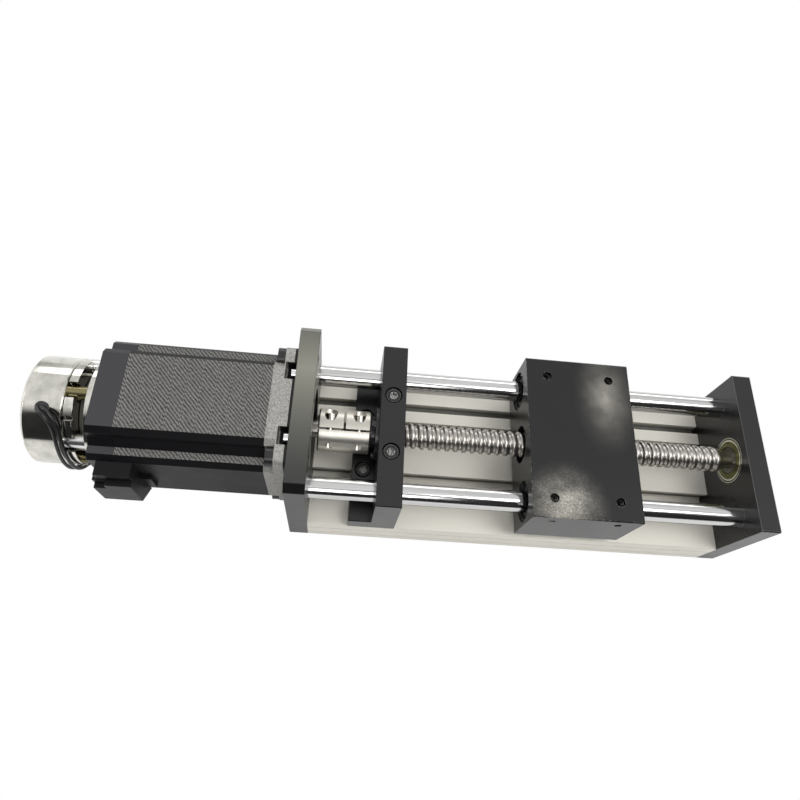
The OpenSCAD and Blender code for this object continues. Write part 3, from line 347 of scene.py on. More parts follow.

# %% [markdown]
# ### Black anodised parts
#
# The block, the plates and the carriage are aluminium, dyed black in a bath. Dye is no metal to
# the eye, so these finishes aren't metallic. The motor plate's top is painted paler round its
# middle as a painted sheen, its front faces and rims darker as painted shade, and the end plate's
# edges are bare.

# %% Black anodised parts
DYED_BLACK = (0.004, 0.004, 0.0045)
# Where the painted sheen lies on the motor plate's top, and how far it reaches along Y
SHEEN_Y, SHEEN_REACH = 17 * MM, 52 * MM
# The plate's black, its painted sheen, and the painted shade of its front faces and rims
PLATE_BLACK, PLATE_SHEEN = (0.028, 0.028, 0.027), (0.21, 0.21, 0.175)
FRONT_SHADE, PLATE_RIM_SHADE = (0.001, 0.001, 0.001), (0, 0, 0)


def dyed(name, colour, roughness=0.30, edge=0.3, worn=None):
    return worked_metal(name, colour, roughness, 0.0, vary=0.15, grain=0.10, edge=edge, size=0.35,
                        worn=worn)


dyed("black_anodised", DYED_BLACK)
dyed("end_anodised", DYED_BLACK, edge=0.35, worn=(0.30, 0.30, 0.30))

plate = dyed("plate_anodised", None, roughness=0.34, edge=0.5)
# Painted sheen pales the plate's top round its middle; painted shade darkens its front and rims
sheen = (1 - abs(plate.axis("Y") - SHEEN_Y) / SHEEN_REACH).clamped()
sheened = plate.blend(sheen ** 1.6, PLATE_BLACK, PLATE_SHEEN)
front_shaded = plate.blend(plate.facing("Y") < -0.5, sheened, FRONT_SHADE)
plate.set("Base Color", plate.blend(plate.edge, front_shaded, PLATE_RIM_SHADE))
plate.set("Specular IOR Level", 0.4)
print("dyed so far:", ", ".join(FINISHES))

# %% [markdown]
# The carriage has the black of the block. Two painted reflections of light lie on its top, one
# of them speckled, and its edges are chipped. The reflections could be painted on a picture, but
# two soft spots with noise inside them need no unwrapping.

# %% The carriage
# The colour of the painted reflections on the top, and of the bare metal at chipped edges
REFLECTION_COLOUR, CHIPPED = (0.42, 0.40, 0.35), (0.55, 0.55, 0.54)
# (x, y, reach along X, reach along Y), in millimetres
NEAR_REFLECTION_SPOT, FAR_REFLECTION_SPOT = (12, -33, 22, 22), (35, 21, 17, 32)

carriage = dyed("carriage_anodised", None)
# Painted reflections: two soft pools of light on the top, the near one speckled
near_reflection = spot(carriage, *NEAR_REFLECTION_SPOT)
far_reflection = spot(carriage, *FAR_REFLECTION_SPOT)
reflection_speckle = carriage.noise(0.55 * MM, 4).rising(0.38, 3)
reflection_blotch = carriage.noise(7 * MM, 3).rising(0.35, 2.5)
painted_reflections = (near_reflection * near_reflection * (0.9 + reflection_speckle * 1.6) * (0.35 + reflection_blotch * 0.65)
           + far_reflection * far_reflection * 0.75 * (0.5 + reflection_blotch * 0.5))
on_top = carriage.facing("Z") > 0.5
chips = carriage.edge * carriage.noise(1.6 * MM, 3).rising(0.5, 7)
skin = carriage.blend((painted_reflections * on_top).clamped(), DYED_BLACK, REFLECTION_COLOUR)
carriage.set("Base Color", carriage.blend(chips, skin, CHIPPED))
carriage.set("Specular IOR Level", 0.42)
# Two painted reflections light the carriage's top
print("the carriage is rubbed in two places")

# %% [markdown]
# ### The base
#
# The base is a slotted extrusion, anodised without dye, so it is pale and silky. Painted shade
# darkens the slots of its top and the lines along its sides. Their places are known from the
# section, so plain comparisons of height and distance mask them, and no picture is needed.

# %% The base
SILVER, SLOT_SHADE = (0.78, 0.755, 0.68), (0.19, 0.19, 0.17)
SLOT_FLOOR, SLOT_TOP, SHADE_DEPTH = 12.5 * MM, 19.3 * MM, 3 * MM
LINE_IN, LINE_OUT = 37 * MM, 38.9 * MM
LINE_LOW, LINE_HIGH = 1 * MM, 19 * MM

extrusion = worked_metal("silver_anodised", None, 0.45, 0.25, grain=0.06, edge=0.2,
                         brushed=(0.04, 1, 1), size=0.5)
from_floor = extrusion.axis("Z")
from_middle = abs(extrusion.axis("Y"))
# Painted shade in the top's slots, darker with depth, and in the lines along the sides
shade = ((SLOT_TOP - from_floor) / SHADE_DEPTH).clamped()
in_slot = shade * (from_middle < LINE_IN) * (from_floor > SLOT_FLOOR)
in_line = from_middle.within(LINE_IN, LINE_OUT) * from_floor.within(LINE_LOW, LINE_HIGH)
painted_shade = in_slot.maths("MAXIMUM", in_line * 0.85)
extrusion.set("Base Color", extrusion.blend(painted_shade, SILVER, SLOT_SHADE))
print("slots are dark below", round(SLOT_TOP / MM, 1), "mm")

# %% [markdown]
# ### Steel
#
# The shafts are ground and plated, the screw is rolled and the small parts are turned or coated.
# They differ in tone and roughness, and those coated black are only partly metal to the shader.
# Grinding leaves fine streaks along the shafts. They could be a bump, but at this size they show
# as tone and gloss, so one noise stretched along X drives both.

# %% Ground and rolled steel
STREAK_DARK, STREAK_BRIGHT = (0.44, 0.44, 0.435), (0.76, 0.76, 0.755)

worked_metal("screw_steel", (0.40, 0.38, 0.355), 0.30, grain=0.08)
worked_metal("bearing_steel", (0.62, 0.62, 0.63), 0.18, vary=0.04)
worked_metal("bright_steel", (0.72, 0.72, 0.72), 0.24, edge=0.12)
worked_metal("black_steel", (0.02, 0.02, 0.021), 0.28, 0.3, edge=0.15)
worked_metal("inner_ring", (0.14, 0.14, 0.11), 0.3)
worked_metal("cut_thread", (0.20, 0.20, 0.19), 0.25)
worked_metal("clamp_steel", (0.38, 0.37, 0.33), 0.22, edge=0.12)

chrome = Finish("chrome_shaft")
chrome.bump(chrome.noise(GRAIN_SIZE * MM, 2, (1, 0.05, 0.05)), 0.001 * MM)
streak = chrome.noise(1.2 * MM, 3, (0.02, 1, 1))
chrome.set("Base Color", chrome.blend(streak, STREAK_DARK, STREAK_BRIGHT))
chrome.set("Roughness", streak * 0.20 + 0.03)
print(len(FINISHES), "finishes so far")

# %% [markdown]
# Two steels change with the place. The end bearing's ring is ground bright on its rims and dull
# between them. The block's screws keep their black oxide; their rims are lighter, as wear and a
# painted glint, and their sockets carry painted glints. One finish with a mask does for each.

# %% Steel that changes with the place
DULL_FROM, DULL_TO = 10.0 * MM, 10.65 * MM
RING_BRIGHT, RING_DULL = (0.66, 0.66, 0.56), (0.03, 0.03, 0.02)
BLACK_OXIDE, RIM_WEAR_AND_GLINT, SOCKET_GLINT = (0.012, 0.012, 0.012), (0.2, 0.2, 0.195), (0.62, 0.62, 0.60)
SOCKET_REACH = 1.9

ring = worked_metal("ring_face", None, 0.25)
from_axis = distance(ring.axis("Y"), ring.axis("Z") - AXIS_Z)
dull = from_axis.within(DULL_FROM, DULL_TO)
ring.set("Base Color", ring.blend(dull, RING_BRIGHT, RING_DULL))

oxide = worked_metal("socket_steel", None, 0.32, 0.3, edge=0.2)
# Painted glints in the block screws' sockets; their rims are lighter, as wear and a painted glint
sockets = sum(spot(oxide, x, y, SOCKET_REACH, SOCKET_REACH)
              for x, _ in BLOCK_SCREWS for y in (-BLOCK_SCREW_Y, BLOCK_SCREW_Y))
painted_glints = (sockets * 6).clamped() * oxide.noise(0.7 * MM, 2).rising(0.42, 6)
rims = oxide.blend(oxide.edge, BLACK_OXIDE, RIM_WEAR_AND_GLINT)
oxide.set("Base Color", oxide.blend(painted_glints, rims, SOCKET_GLINT))
# The sockets carry painted glints
print(2 * len(BLOCK_SCREWS), "sockets are rubbed bright")

# %% [markdown]
# ### Turned and cast alloy
#
# The coupling is turned, so its grain runs round it. The motor's flange is a casting with a sandy
# top. Painted shade darkens its rim against the plate and the pockets in its top, which are
# masked by their places.

# %% Turned and cast alloy
RIM_X, POCKET_X = -111.1 * MM, -114 * MM
POCKET_TOP, POCKET_FLOOR, POCKET_HALF = 0.3 * MM, 9 * MM, 24 * MM
SAND_DARK, SAND_BRIGHT, FLANGE_SHADE = (0.17, 0.165, 0.155), (0.44, 0.43, 0.405), (0.01, 0.01, 0.01)

worked_metal("coupling_alloy", (0.56, 0.54, 0.49), 0.36, brushed=(1, 0.05, 0.05), edge=0.2,
             size=0.3)

cast = worked_metal("cast_alloy", None, 0.52, 0.6, grain=0.2, relief=0.05, edge=0.3)
grit = cast.noise(0.5 * MM, 3).rising(0.3, 2.6)
sand = cast.blend(grit, SAND_DARK, SAND_BRIGHT)
# Painted shade on the flange's rim against the plate and in its pockets
from_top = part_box("motor_flange")[1].z - cast.axis("Z")
toward_plate = cast.axis("X")
near_plate = from_top.within(POCKET_TOP, POCKET_FLOOR) * (toward_plate > POCKET_X)
pockets = near_plate * (abs(cast.axis("Y")) < POCKET_HALF)
rim_and_pocket_shade = (toward_plate > RIM_X).maths("MAXIMUM", pockets)
cast.set("Base Color", cast.blend(rim_and_pocket_shade, sand, FLANGE_SHADE))
print("the flange is dark past", round(RIM_X / MM, 1), "mm")

# %% [markdown]
# ### The motor
#
# The rear cap is cast and sprayed black; its top is painted lighter as painted light, and its
# sides darker as painted shade. Between cap and flange lies a stack of punched sheets, whose
# edges shine in short slanting strokes where the burr of the punch leans, drawn as a painted
# sheen. The sheets are half a millimetre thick, far too many to model, so two sine waves draw the
# sheets and the strokes, and noise breaks them up. Their sides facing front and back carry
# painted shade.

# %% The motor's black cap and its laminated stack
SHEET = 0.5 * MM
STROKE, STROKE_LEAN = 1.75 * MM, 0.9
COLUMN, COLUMN_SHIFT = 6.2 * MM, 0.9 * MM
STACK_DARK, STACK_BRIGHT = (0.045, 0.045, 0.045), (0.25, 0.243, 0.232)
STACK_SIDE_SHADE = (0.006, 0.006, 0.007)
CAP_SIDE_SHADE, CAP_TOP_LIGHT = (0.004, 0.004, 0.005), (0.045, 0.044, 0.048)
STACK_METALLIC = 0.75

cap = worked_metal("motor_black", None, 0.34, 0.0, grain=0.1, edge=0.5, size=0.3)
# Painted light on the cap's top and painted shade on its sides
cap_top_lit = cap.facing("Z") > 0.8
cap.set("Base Color", cap.blend(cap_top_lit, CAP_SIDE_SHADE, CAP_TOP_LIGHT))
cap.set("Specular IOR Level", 0.2)

stack = worked_metal("lamination", None, 0.42, grain=0.12, edge=0.2)
along_stack = stack.axis("X")
sheets = along_stack.wave(SHEET)
stack.bump(sheets, 0.03 * MM, 0.6)
wander = stack.noise(5 * MM, 3) * 1.3 * MM + stack.noise(1.4 * MM, 2) * 0.35 * MM
column = (along_stack / COLUMN).maths("FLOOR") * COLUMN_SHIFT
# The slanting strokes are a painted sheen in the sheets' colour
strokes = (along_stack + stack.axis("Y") * STROKE_LEAN + wander + column).wave(STROKE)
speck = stack.noise(0.55 * MM, 3)
depth = stack.noise(7 * MM, 2)
shine = (strokes - 0.5) * (0.4 + depth * 0.75) + (speck - 0.5) * 1.5 + sheets * 0.12 + 0.42
bare = stack.blend(shine.clamped(), STACK_DARK, STACK_BRIGHT)
# The sides facing front and back are darkened with painted shade, those facing up and down are
# bare
painted = abs(stack.facing("Y")) > 0.6
stack.set("Base Color", stack.blend(painted, bare, STACK_SIDE_SHADE))
stack.set("Metallic", STACK_METALLIC - painted * STACK_METALLIC)
stack.set("Specular IOR Level", 0.1)
print("strokes are", round(STROKE / MM, 2), "mm apart on sheets of", SHEET / MM, "mm")

# %% [markdown]
# ### The brake
#
# Its body is plated and mirrors the room. Such plating dulls in blotches with a few small stains,
# so one noise blends two tones and roughens the same places, and a second one adds the stains.
# The sleeves are brass, the coil is copper, and the zinc of the bearing's shields is yellowish.

# %% Brake, copper, brass and coated sheet
PLATING_DARK, PLATING_BRIGHT = (0.46, 0.455, 0.41), (0.84, 0.82, 0.76)
STAINED = (0.26, 0.24, 0.19)

nickel = Finish("brake_nickel")
nickel.round_edges(0.25 * MM)
nickel.bump(nickel.noise(GRAIN_SIZE * MM, 2, (1, 0.06, 0.06)), 0.002 * MM)
blotch = nickel.noise(6 * MM, 4)
stain = nickel.noise(1.6 * MM, 3).rising(0.66, 12)
dulled = ((blotch - 0.5) * 1.8 + 0.5).clamped()
plating = nickel.blend(dulled, PLATING_DARK, PLATING_BRIGHT)
nickel.set("Base Color", nickel.blend(stain * 0.6, plating, STAINED))
nickel.set("Roughness", blotch * 0.14 + stain * 0.15 + 0.04)

worked_metal("brass_sleeve", (0.24, 0.21, 0.11), 0.26, edge=0.15)
worked_metal("shield_zinc", (0.15, 0.145, 0.06), 0.26, vary=0.5)
worked_metal("copper_wire", (0.50, 0.20, 0.08), 0.32, vary=0.15)
print(len(FINISHES), "finishes so far")

# %% [markdown]
# ### Plastics and rubber
#
# The connector box, the seals, the leads' sheaths and the friction lining aren't metals. They take
# the same recipe with no metal in it, and have a duller and grainier skin.

# %% Plastics and rubber
def dull_skin(name, colour, roughness, grain=0.1, relief=0.02, edge=0.25):
    return worked_metal(name, colour, roughness, 0.0, vary=0.15, grain=grain, relief=relief,
                        edge=edge, size=0.4)


dull_skin("black_plastic", (0.005, 0.005, 0.006), 0.40).set("Specular IOR Level", 0.15)
dull_skin("rubber_seal", (0.018, 0.018, 0.018), 0.6)
dull_skin("lead_sheath", (0.006, 0.006, 0.007), 0.34, edge=0)
dull_skin("friction_lining", (0.07, 0.068, 0.055), 0.75, grain=0.2, relief=0.06)
print(len(FINISHES), "finishes")

# %% [markdown]
# ## Dressing the solids
#
# Each solid of the pack names a slot, and every slot has a finish of the same name. A few solids
# look different from the others of their slot, so they are listed with a finish of their own.
# Only their materials are set, and the solids themselves stay as they are.

# %% Dress the solids
OWN_FINISH = {
    "motor_plate": "plate_anodised",
    "end_plate": "end_anodised",
    "carriage": "carriage_anodised",
    "retainer_screws": "black_steel",
    "end_bearing_outer_ring": "ring_face",
    "bearing_inner_rings": "inner_ring",
}


def dress(obj, finish):
    obj.data.materials.clear()
    obj.data.materials.append(FINISHES[finish].material)


for name, obj in nodes.items():
    dress(obj, OWN_FINISH.get(name, slot_of[name]))
print("dressed", len(nodes), "solids")

# %% [markdown]
# ## Helpers for making pieces
#
# A finer piece could be typed in as a list of corners. Instead each is drawn with bmesh operators,
# in its place, because an operator makes clean faces and its sizes are easy to change. A piece
# rides on a body, stands for the solids it replaces, and is smooth except at its sharper edges.

# %% Piece helpers
MERGE = 0.02 * MM
ROUND_STEPS = 64
# Turns a shape drawn along Z so that it runs along X on the screw's axis
ALONG_X = Matrix.Translation((0, 0, AXIS_Z)) @ Matrix.Rotation(math.pi / 2, 4, "Y")


def piece(name, mesh, body, slot, replaced=(), finish=None, sharp=35):
    """Turns a bmesh into an object. Its finish is its slot's, unless another is named."""
    mesh.normal_update()
    for face in mesh.faces:
        face.smooth = True
    for edge in mesh.edges:
        if len(edge.link_faces) == 2 and edge.calc_face_angle(0) > math.radians(sharp):
            edge.smooth = False
    data = bpy.data.meshes.new(name)
    mesh.to_mesh(data)
    mesh.free()
    obj = bpy.data.objects.new(name, data)
    bpy.context.scene.collection.objects.link(obj)
    dress(obj, finish or slot)
    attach(obj, body)
    if replaced:
        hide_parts(*replaced)
    print(name, "has", len(data.polygons), "faces")


def place_new(mesh, before, place):
    """Moves the vertices that a mesh has gained since `before`."""
    gained = [v for v in mesh.verts if v not in before]
    bmesh.ops.transform(mesh, matrix=place, verts=gained)


def revolve(mesh, outline, place):
    """Spins a closed outline of (radius, height) points round Z, then places it."""
    before = set(mesh.verts)
    verts = [mesh.verts.new((r, 0, z)) for r, z in outline]
    edges = [mesh.edges.new(pair) for pair in zip(verts, verts[1:] + verts[:1])]
    bmesh.ops.spin(mesh, geom=verts + edges, cent=(0, 0, 0), axis=(0, 0, 1),
                   angle=2 * math.pi, steps=ROUND_STEPS, use_merge=True)
    place_new(mesh, before, place)


print("rounds have", ROUND_STEPS, "sides")

# %% [markdown]
# ## Brake leads
#
# Two soft leads leave the brake through one grommet, cross its rim, follow it round and drop
# to the floor behind, where the rest of each is wound into a small tied coil out of sight.
# A swept tube of faces could be built by hand, but a curve with a round bevel is the same shape,
# measures its own length and stays easy to bend.
# The first points of each route are those of the solid that it stands for, in millimetres.

# %% Lead routes
ROUTE_A = [
    (-213.65, -8.87, 65.61), (-213.65, -9.51, 67.29), (-212.3, -11.3, 68.6), (-210, -13.3, 68.4),
    (-208.2, -15.2, 66.6), (-207.2, -17, 63.8), (-206.7, -19.3, 60.2), (-206.5, -21.7, 56.6),
    (-206.5, -23.5, 52.7), (-206.5, -24.7, 48.7), (-206.5, -25.4, 44.5), (-206.5, -25.4, 40.3),
    (-206.5, -24.7, 36.1), (-206.5, -23.3, 32.1), (-206.5, -21.4, 28.6), (-206.5, -19.2, 25.5),
    (-206.5, -17.2, 21.9), (-206.5, -15.3, 18.2), (-206.5, -13.4, 14.5), (-206.5, -11.5, 10.7),
    (-206.5, -9.6, 7), (-206.5, -7.2, 3.7), (-206.5, -4.2, 1.5), (-206.5, -0.6, 0.9),
    (-206.5, 3.6, 1), (-206.5, 8.1, 1.3),
]
ROUTE_B = [
    (-211.75, -8.87, 65.61), (-211.75, -9.51, 67.29), (-210.5, -10.5, 68.6), (-208.6, -11.9, 68.4),
    (-206.6, -14, 66.6), (-205.2, -16.3, 63.8), (-204.5, -19, 60.2), (-204.1, -21.6, 56.6),
    (-203.8, -23.5, 52.7), (-203.8, -24.7, 48.7), (-203.8, -25.4, 44.5), (-203.8, -25.4, 40.3),
    (-203.8, -24.7, 36.1), (-203.8, -23.3, 32.1), (-203.8, -21.4, 28.6), (-203.8, -19.2, 25.5),
    (-203.8, -17.2, 21.9), (-203.8, -15.3, 18.2), (-203.8, -13.4, 14.5), (-203.8, -11.5, 10.7),
    (-203.7, -9.6, 7), (-203.6, -7.2, 3.7), (-203.5, -4.2, 1.5), (-203.5, -0.6, 0.9),
    (-203.5, 3.6, 1), (-203.5, 8.1, 1.3),
]
print("the routes have", len(ROUTE_A), "and", len(ROUTE_B), "points")

# %% [markdown]
# A coil has two turns beside and two on each other: out low, out high, in high, in low.
# Between them the lead climbs or steps inwards over about sixty degrees, as it does when it is
# wound by hand. The ties round both coils are solids of the pack and stay.

# %% Coils
COIL_A = Vector((-216, 14, 0)) * MM
COIL_B = Vector((-194, 14, 0)) * MM
COIL_OUT, COIL_IN = 9.5 * MM, 7.9 * MM
COIL_LOW, COIL_HIGH = 1.3 * MM, 2.9 * MM
# Degrees turned at the start and at the end of each change, at the coil's end and for each step
CLIMB, STEP_IN, DROP = (290, 355), (600, 660), (880, 940)
COIL_END, COIL_STEP = 1235, 20


def eased(turned, start, end):
    share = min(1.0, max(0.0, (turned - start) / (end - start)))
    return share * share * (3 - 2 * share)


def coil_points(centre, side):
    """Points round a coil; side is 1 for a coil entered at its +X side, -1 at its -X side."""
    points = []
    for turned in range(0, COIL_END + 1, COIL_STEP):
        radius = COIL_OUT + (COIL_IN - COIL_OUT) * eased(turned, *STEP_IN)
        raised = eased(turned, *CLIMB) - eased(turned, *DROP)
        angle = math.radians(turned)
        points.append((centre.x + side * radius * math.cos(angle),
                       centre.y + radius * math.sin(angle),
                       COIL_LOW + (COIL_HIGH - COIL_LOW) * raised))
    return points


def lead_wire(name, route, centre, side):
    """A curve through the route and the coil, as thick as the lead."""
    points = [tuple(v * MM for v in p) for p in route] + coil_points(centre, side)
    data = bpy.data.curves.new(name, "CURVE")
    data.dimensions = "3D"
    data.bevel_depth = LEAD_WIRE / 2
    data.bevel_resolution = 3
    data.resolution_u = 4
    data.use_fill_caps = True
    spline = data.splines.new("BEZIER")
    spline.bezier_points.add(len(points) - 1)
    for knot, point in zip(spline.bezier_points, points):
        knot.co = point
        knot.handle_left_type = knot.handle_right_type = "AUTO"
    obj = bpy.data.objects.new(name, data)
    bpy.context.scene.collection.objects.link(obj)
    dress(obj, "lead_sheath")
    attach(obj, "base")
    length = spline.calc_length()
    print(name, "is", round(length / MM, 1), "mm long")
    return obj, points[0], length


wire_a, exit_a, length_a = lead_wire("lead_wire_a", ROUTE_A, COIL_A, 1)
wire_b, exit_b, length_b = lead_wire("lead_wire_b", ROUTE_B, COIL_B, -1)
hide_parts("brake_lead_a", "lead_coil_a")
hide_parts("brake_lead_b", "lead_coil_b")

# %% [markdown]
# ## Ball screw
#
# The screw's thread is a round groove, a little wider than the balls, between flat lands. One
# pitch of it is an outline along the screw. A screw modifier could wind it up, but
# `bmesh.ops.spin` does so at once: it turns the outline round the axis and moves it along by one
# lead each turn. The end of one turn meets the start of the next, and merging the doubles closes
# the seam.

# %% Thread
THREAD_STEPS = 40
GROOVE_STEPS = 6
# The lip between groove and land is broken, this far down and this far along
LIP_DROP, LIP_WIDTH = 0.12 * MM, 0.14 * MM


def thread_outline():
    """(distance along the screw, radius) over one lead, from one land's edge to the next."""
    edge = math.acos((BALL_PATH_R - SCREW_R) / GROOVE_R)
    points = []
    for i in range(GROOVE_STEPS + 1):
        angle = -edge + 2 * edge * i / GROOVE_STEPS
        points.append((GROOVE_R * math.sin(angle), BALL_PATH_R - GROOVE_R * math.cos(angle)))
    points[0] = (points[0][0], SCREW_R - LIP_DROP)
    points[-1] = (points[-1][0], SCREW_R - LIP_DROP)
    lip = GROOVE_R * math.sin(edge) + LIP_WIDTH
    return points + [(lip, SCREW_R), (LEAD - lip, SCREW_R), (LEAD + points[0][0], points[0][1])]


def screw_mesh():
    length = thread_end_x - thread_x
    turns = math.floor(length / LEAD) - 1
    start = thread_x + (length - turns * LEAD) / 2 - LEAD / 2
    mesh = bmesh.new()
    verts = [mesh.verts.new((start + x, r, AXIS_Z)) for x, r in thread_outline()]
    edges = [mesh.edges.new(pair) for pair in zip(verts, verts[1:])]
    bmesh.ops.spin(mesh, geom=verts + edges, cent=(0, 0, AXIS_Z), axis=(1, 0, 0),
                   dvec=(LEAD / THREAD_STEPS, 0, 0), angle=2 * math.pi * turns,
                   steps=turns * THREAD_STEPS)
    bmesh.ops.remove_doubles(mesh, verts=mesh.verts[:], dist=MERGE)
    return mesh


screw = screw_mesh()
print("thread:", len(screw.faces), "faces,", sum(e.is_boundary for e in screw.edges), "open edges")

# %% [markdown]
# At both ends the thread runs down to the journals, the plain rounds that sit in the bearings.
# A journal could be a second mesh pushed into the first. Extruding the helix's open rim keeps the
# screw one closed skin: the rim is drawn in to a circle, then pulled out step by step.

# %% Journals
MOTOR_CHAMFER, END_CHAMFER = 0.4 * MM, 0.2 * MM
# The groove for a ring near the far end: from the end plate, its width and its depth
GROOVE_FROM_PLATE, GROOVE_WIDTH, GROOVE_DEPTH = 7.05 * MM, 0.9 * MM, 0.3 * MM
ON_RIM = 0.01 * MM


def new_verts(made):
    return [v for v in made if isinstance(v, bmesh.types.BMVert)]


def close_rim(mesh, rim_x, keep):
    """Draws the open rim on one side in to a circle at rim_x, as wide as the journal."""
    rim = [e for e in mesh.edges if e.is_boundary and keep(e)]
    for vert in new_verts(bmesh.ops.extrude_edge_only(mesh, edges=rim)["geom"]):
        angle = math.atan2(vert.co.z - AXIS_Z, vert.co.y)
        vert.co = (rim_x, JOURNAL_R * math.cos(angle), AXIS_Z + JOURNAL_R * math.sin(angle))
    bmesh.ops.remove_doubles(mesh, verts=mesh.verts[:], dist=MERGE)


def extend_journal(mesh, rim_x, stations):
    """Extrudes the rim at rim_x through (x, radius) stations and closes the end."""
    loop = [e for e in mesh.edges if e.is_boundary and abs(e.verts[0].co.x - rim_x) < ON_RIM]
    for x, radius in stations:
        made = bmesh.ops.extrude_edge_only(mesh, edges=loop)["geom"]
        loop = [e for e in made if isinstance(e, bmesh.types.BMEdge)]
        for vert in new_verts(made):
            out = Vector((0, vert.co.y, vert.co.z - AXIS_Z)).normalized() * radius
            vert.co = (x, out.y, AXIS_Z + out.z)
    bmesh.ops.holes_fill(mesh, edges=loop, sides=0)


middle_x = (thread_x + thread_end_x) / 2
close_rim(screw, thread_x, lambda e: e.verts[0].co.x < middle_x)
close_rim(screw, thread_end_x, lambda e: e.verts[0].co.x > middle_x)
start_x, stop_x = screw_box[0].x, screw_box[1].x
extend_journal(screw, thread_x, [
    (start_x + MOTOR_CHAMFER, JOURNAL_R), (start_x, JOURNAL_R - MOTOR_CHAMFER)])
groove_x = end_x + GROOVE_FROM_PLATE
extend_journal(screw, thread_end_x, [
    (groove_x, JOURNAL_R), (groove_x, JOURNAL_R - GROOVE_DEPTH),
    (groove_x + GROOVE_WIDTH, JOURNAL_R - GROOVE_DEPTH), (groove_x + GROOVE_WIDTH, JOURNAL_R),
    (stop_x - END_CHAMFER, JOURNAL_R), (stop_x, JOURNAL_R - END_CHAMFER)])
bmesh.ops.recalc_face_normals(screw, faces=screw.faces[:])
print("the screw has", sum(e.is_boundary for e in screw.edges), "open edges")
piece("fine_screw", screw, "screw", "screw_steel", ["ball_screw"], sharp=50)

# %% [markdown]
# ## Screw heads
#
# The screws that the camera looks down on are cap screws: a round head with a broken rim and a
# hexagonal socket. A socket could be cut with a boolean, but that leaves long thin faces. Here the
# head's top is inset, drawn to a hexagon, and inset again downwards, which leaves clean rings.

# %% Cap screws
SHANK_SIDES, HEAD_SIDES = 24, 48
# The head's rim is broken, this far in and this far down
RIM_IN, RIM_DOWN = 0.25 * MM, 0.2 * MM
# The round that becomes the socket, as a share of its width, and its depth, of the head's
SOCKET_ROUND, SOCKET_DEPTH = 0.56, 0.5
SOCKET_TAPER = 0.02 * MM


def hexagonal(angle):
    """How far a hexagon's side lies from its middle, against its flat, at an angle."""
    return 1 / math.cos((angle + math.pi / 6) % (math.pi / 3) - math.pi / 6)


def rod(mesh, sides, radius, length, middle):
    """A round rod along Z with its middle at a height; gives its vertices."""
    return bmesh.ops.create_cone(mesh, cap_ends=True, segments=sides, radius1=radius,
                                 radius2=radius, depth=length,
                                 matrix=Matrix.Translation((0, 0, middle)))["verts"]


def cap_screw(mesh, place, head_r, head_h, shank_r, length, flat):
    """Head up from the origin and shank down from it, moved by `place`."""
    before = set(mesh.verts)
    rod(mesh, SHANK_SIDES, shank_r, length, -length / 2)
    head = rod(mesh, HEAD_SIDES, head_r, head_h, head_h / 2)
    top = max((f for v in head for f in v.link_faces), key=lambda f: f.calc_center_median().z)
    bmesh.ops.inset_region(mesh, faces=[top], thickness=RIM_IN, depth=0)
    rim = [v for v in head if v.co.z > head_h / 2]
    bmesh.ops.translate(mesh, verts=rim, vec=(0, 0, -RIM_DOWN))
    bmesh.ops.inset_region(mesh, faces=[top], thickness=head_r - RIM_IN - flat * SOCKET_ROUND,
                           depth=0)
    for vert in top.verts:
        reach = flat / 2 * hexagonal(math.atan2(vert.co.y, vert.co.x))
        vert.co.xy = vert.co.xy.normalized() * reach
    bmesh.ops.inset_region(mesh, faces=[top], thickness=SOCKET_TAPER,
                           depth=-head_h * SOCKET_DEPTH)
    place_new(mesh, before, place)


print("heads have", HEAD_SIDES, "sides")

# %% [markdown]
# Four screws hold the bearing block down to nuts in the base's slots. Two more, one on each side
# of its slit, clamp the coupling on the screw and on the motor's shaft, and turn with it.

# %% Block and coupling screws
NUT_Z = 14.5 * MM
BLOCK_SIZES = {"head_r": 3.3 * MM, "head_h": 4 * MM, "shank_r": 2 * MM, "flat": 3 * MM}
CLAMP_SIZES = {"head_r": 2.65 * MM, "head_h": 2.9 * MM, "shank_r": 1.5 * MM, "flat": 2.5 * MM}
# The coupling starts this far from the motor plate and stands turned; its screws lie across it
COUPLING_GAP, COUPLING_TURN = 2 * MM, math.radians(18)
CLAMP_X, CLAMP_Y, CLAMP_Z, CLAMP_LENGTH = (5.4, 18.6), 4.2 * MM, 6.5 * MM, 8.2 * MM

block_heads = bmesh.new()
for side in (-BLOCK_SCREW_Y, BLOCK_SCREW_Y):
    for x, seat in BLOCK_SCREWS:
        cap_screw(block_heads, Matrix.Translation((x * MM, side * MM, seat * MM)),
                  length=seat * MM - NUT_Z, **BLOCK_SIZES)
piece("block_cap_screws", block_heads, "base", slot_of["block_screws"], ["block_screws"],
      finish="socket_steel")

on_axis = Matrix.Translation((plate_x + COUPLING_GAP, 0, AXIS_Z))
on_coupling = on_axis @ Matrix.Rotation(COUPLING_TURN, 4, "X")
clamp_heads = bmesh.new()
for x in CLAMP_X:
    seat = on_coupling @ Matrix.Translation((x * MM, CLAMP_Y, CLAMP_Z))
    cap_screw(clamp_heads, seat @ Matrix.Rotation(-math.pi / 2, 4, "X"), length=CLAMP_LENGTH,
              **CLAMP_SIZES)
piece("clamp_cap_screws", clamp_heads, "screw", slot_of["coupling_screws"], ["coupling_screws"],
      finish="clamp_steel")

# %% [markdown]
# ## Tapped threads
#
# The carriage was tapped after it was dyed, so the threads in its four holes are bare metal.
# A bump could hint at them, but they catch the light from above, so they are modelled: each is a
# small ridge spun round its hole and moved along by one pitch each turn.

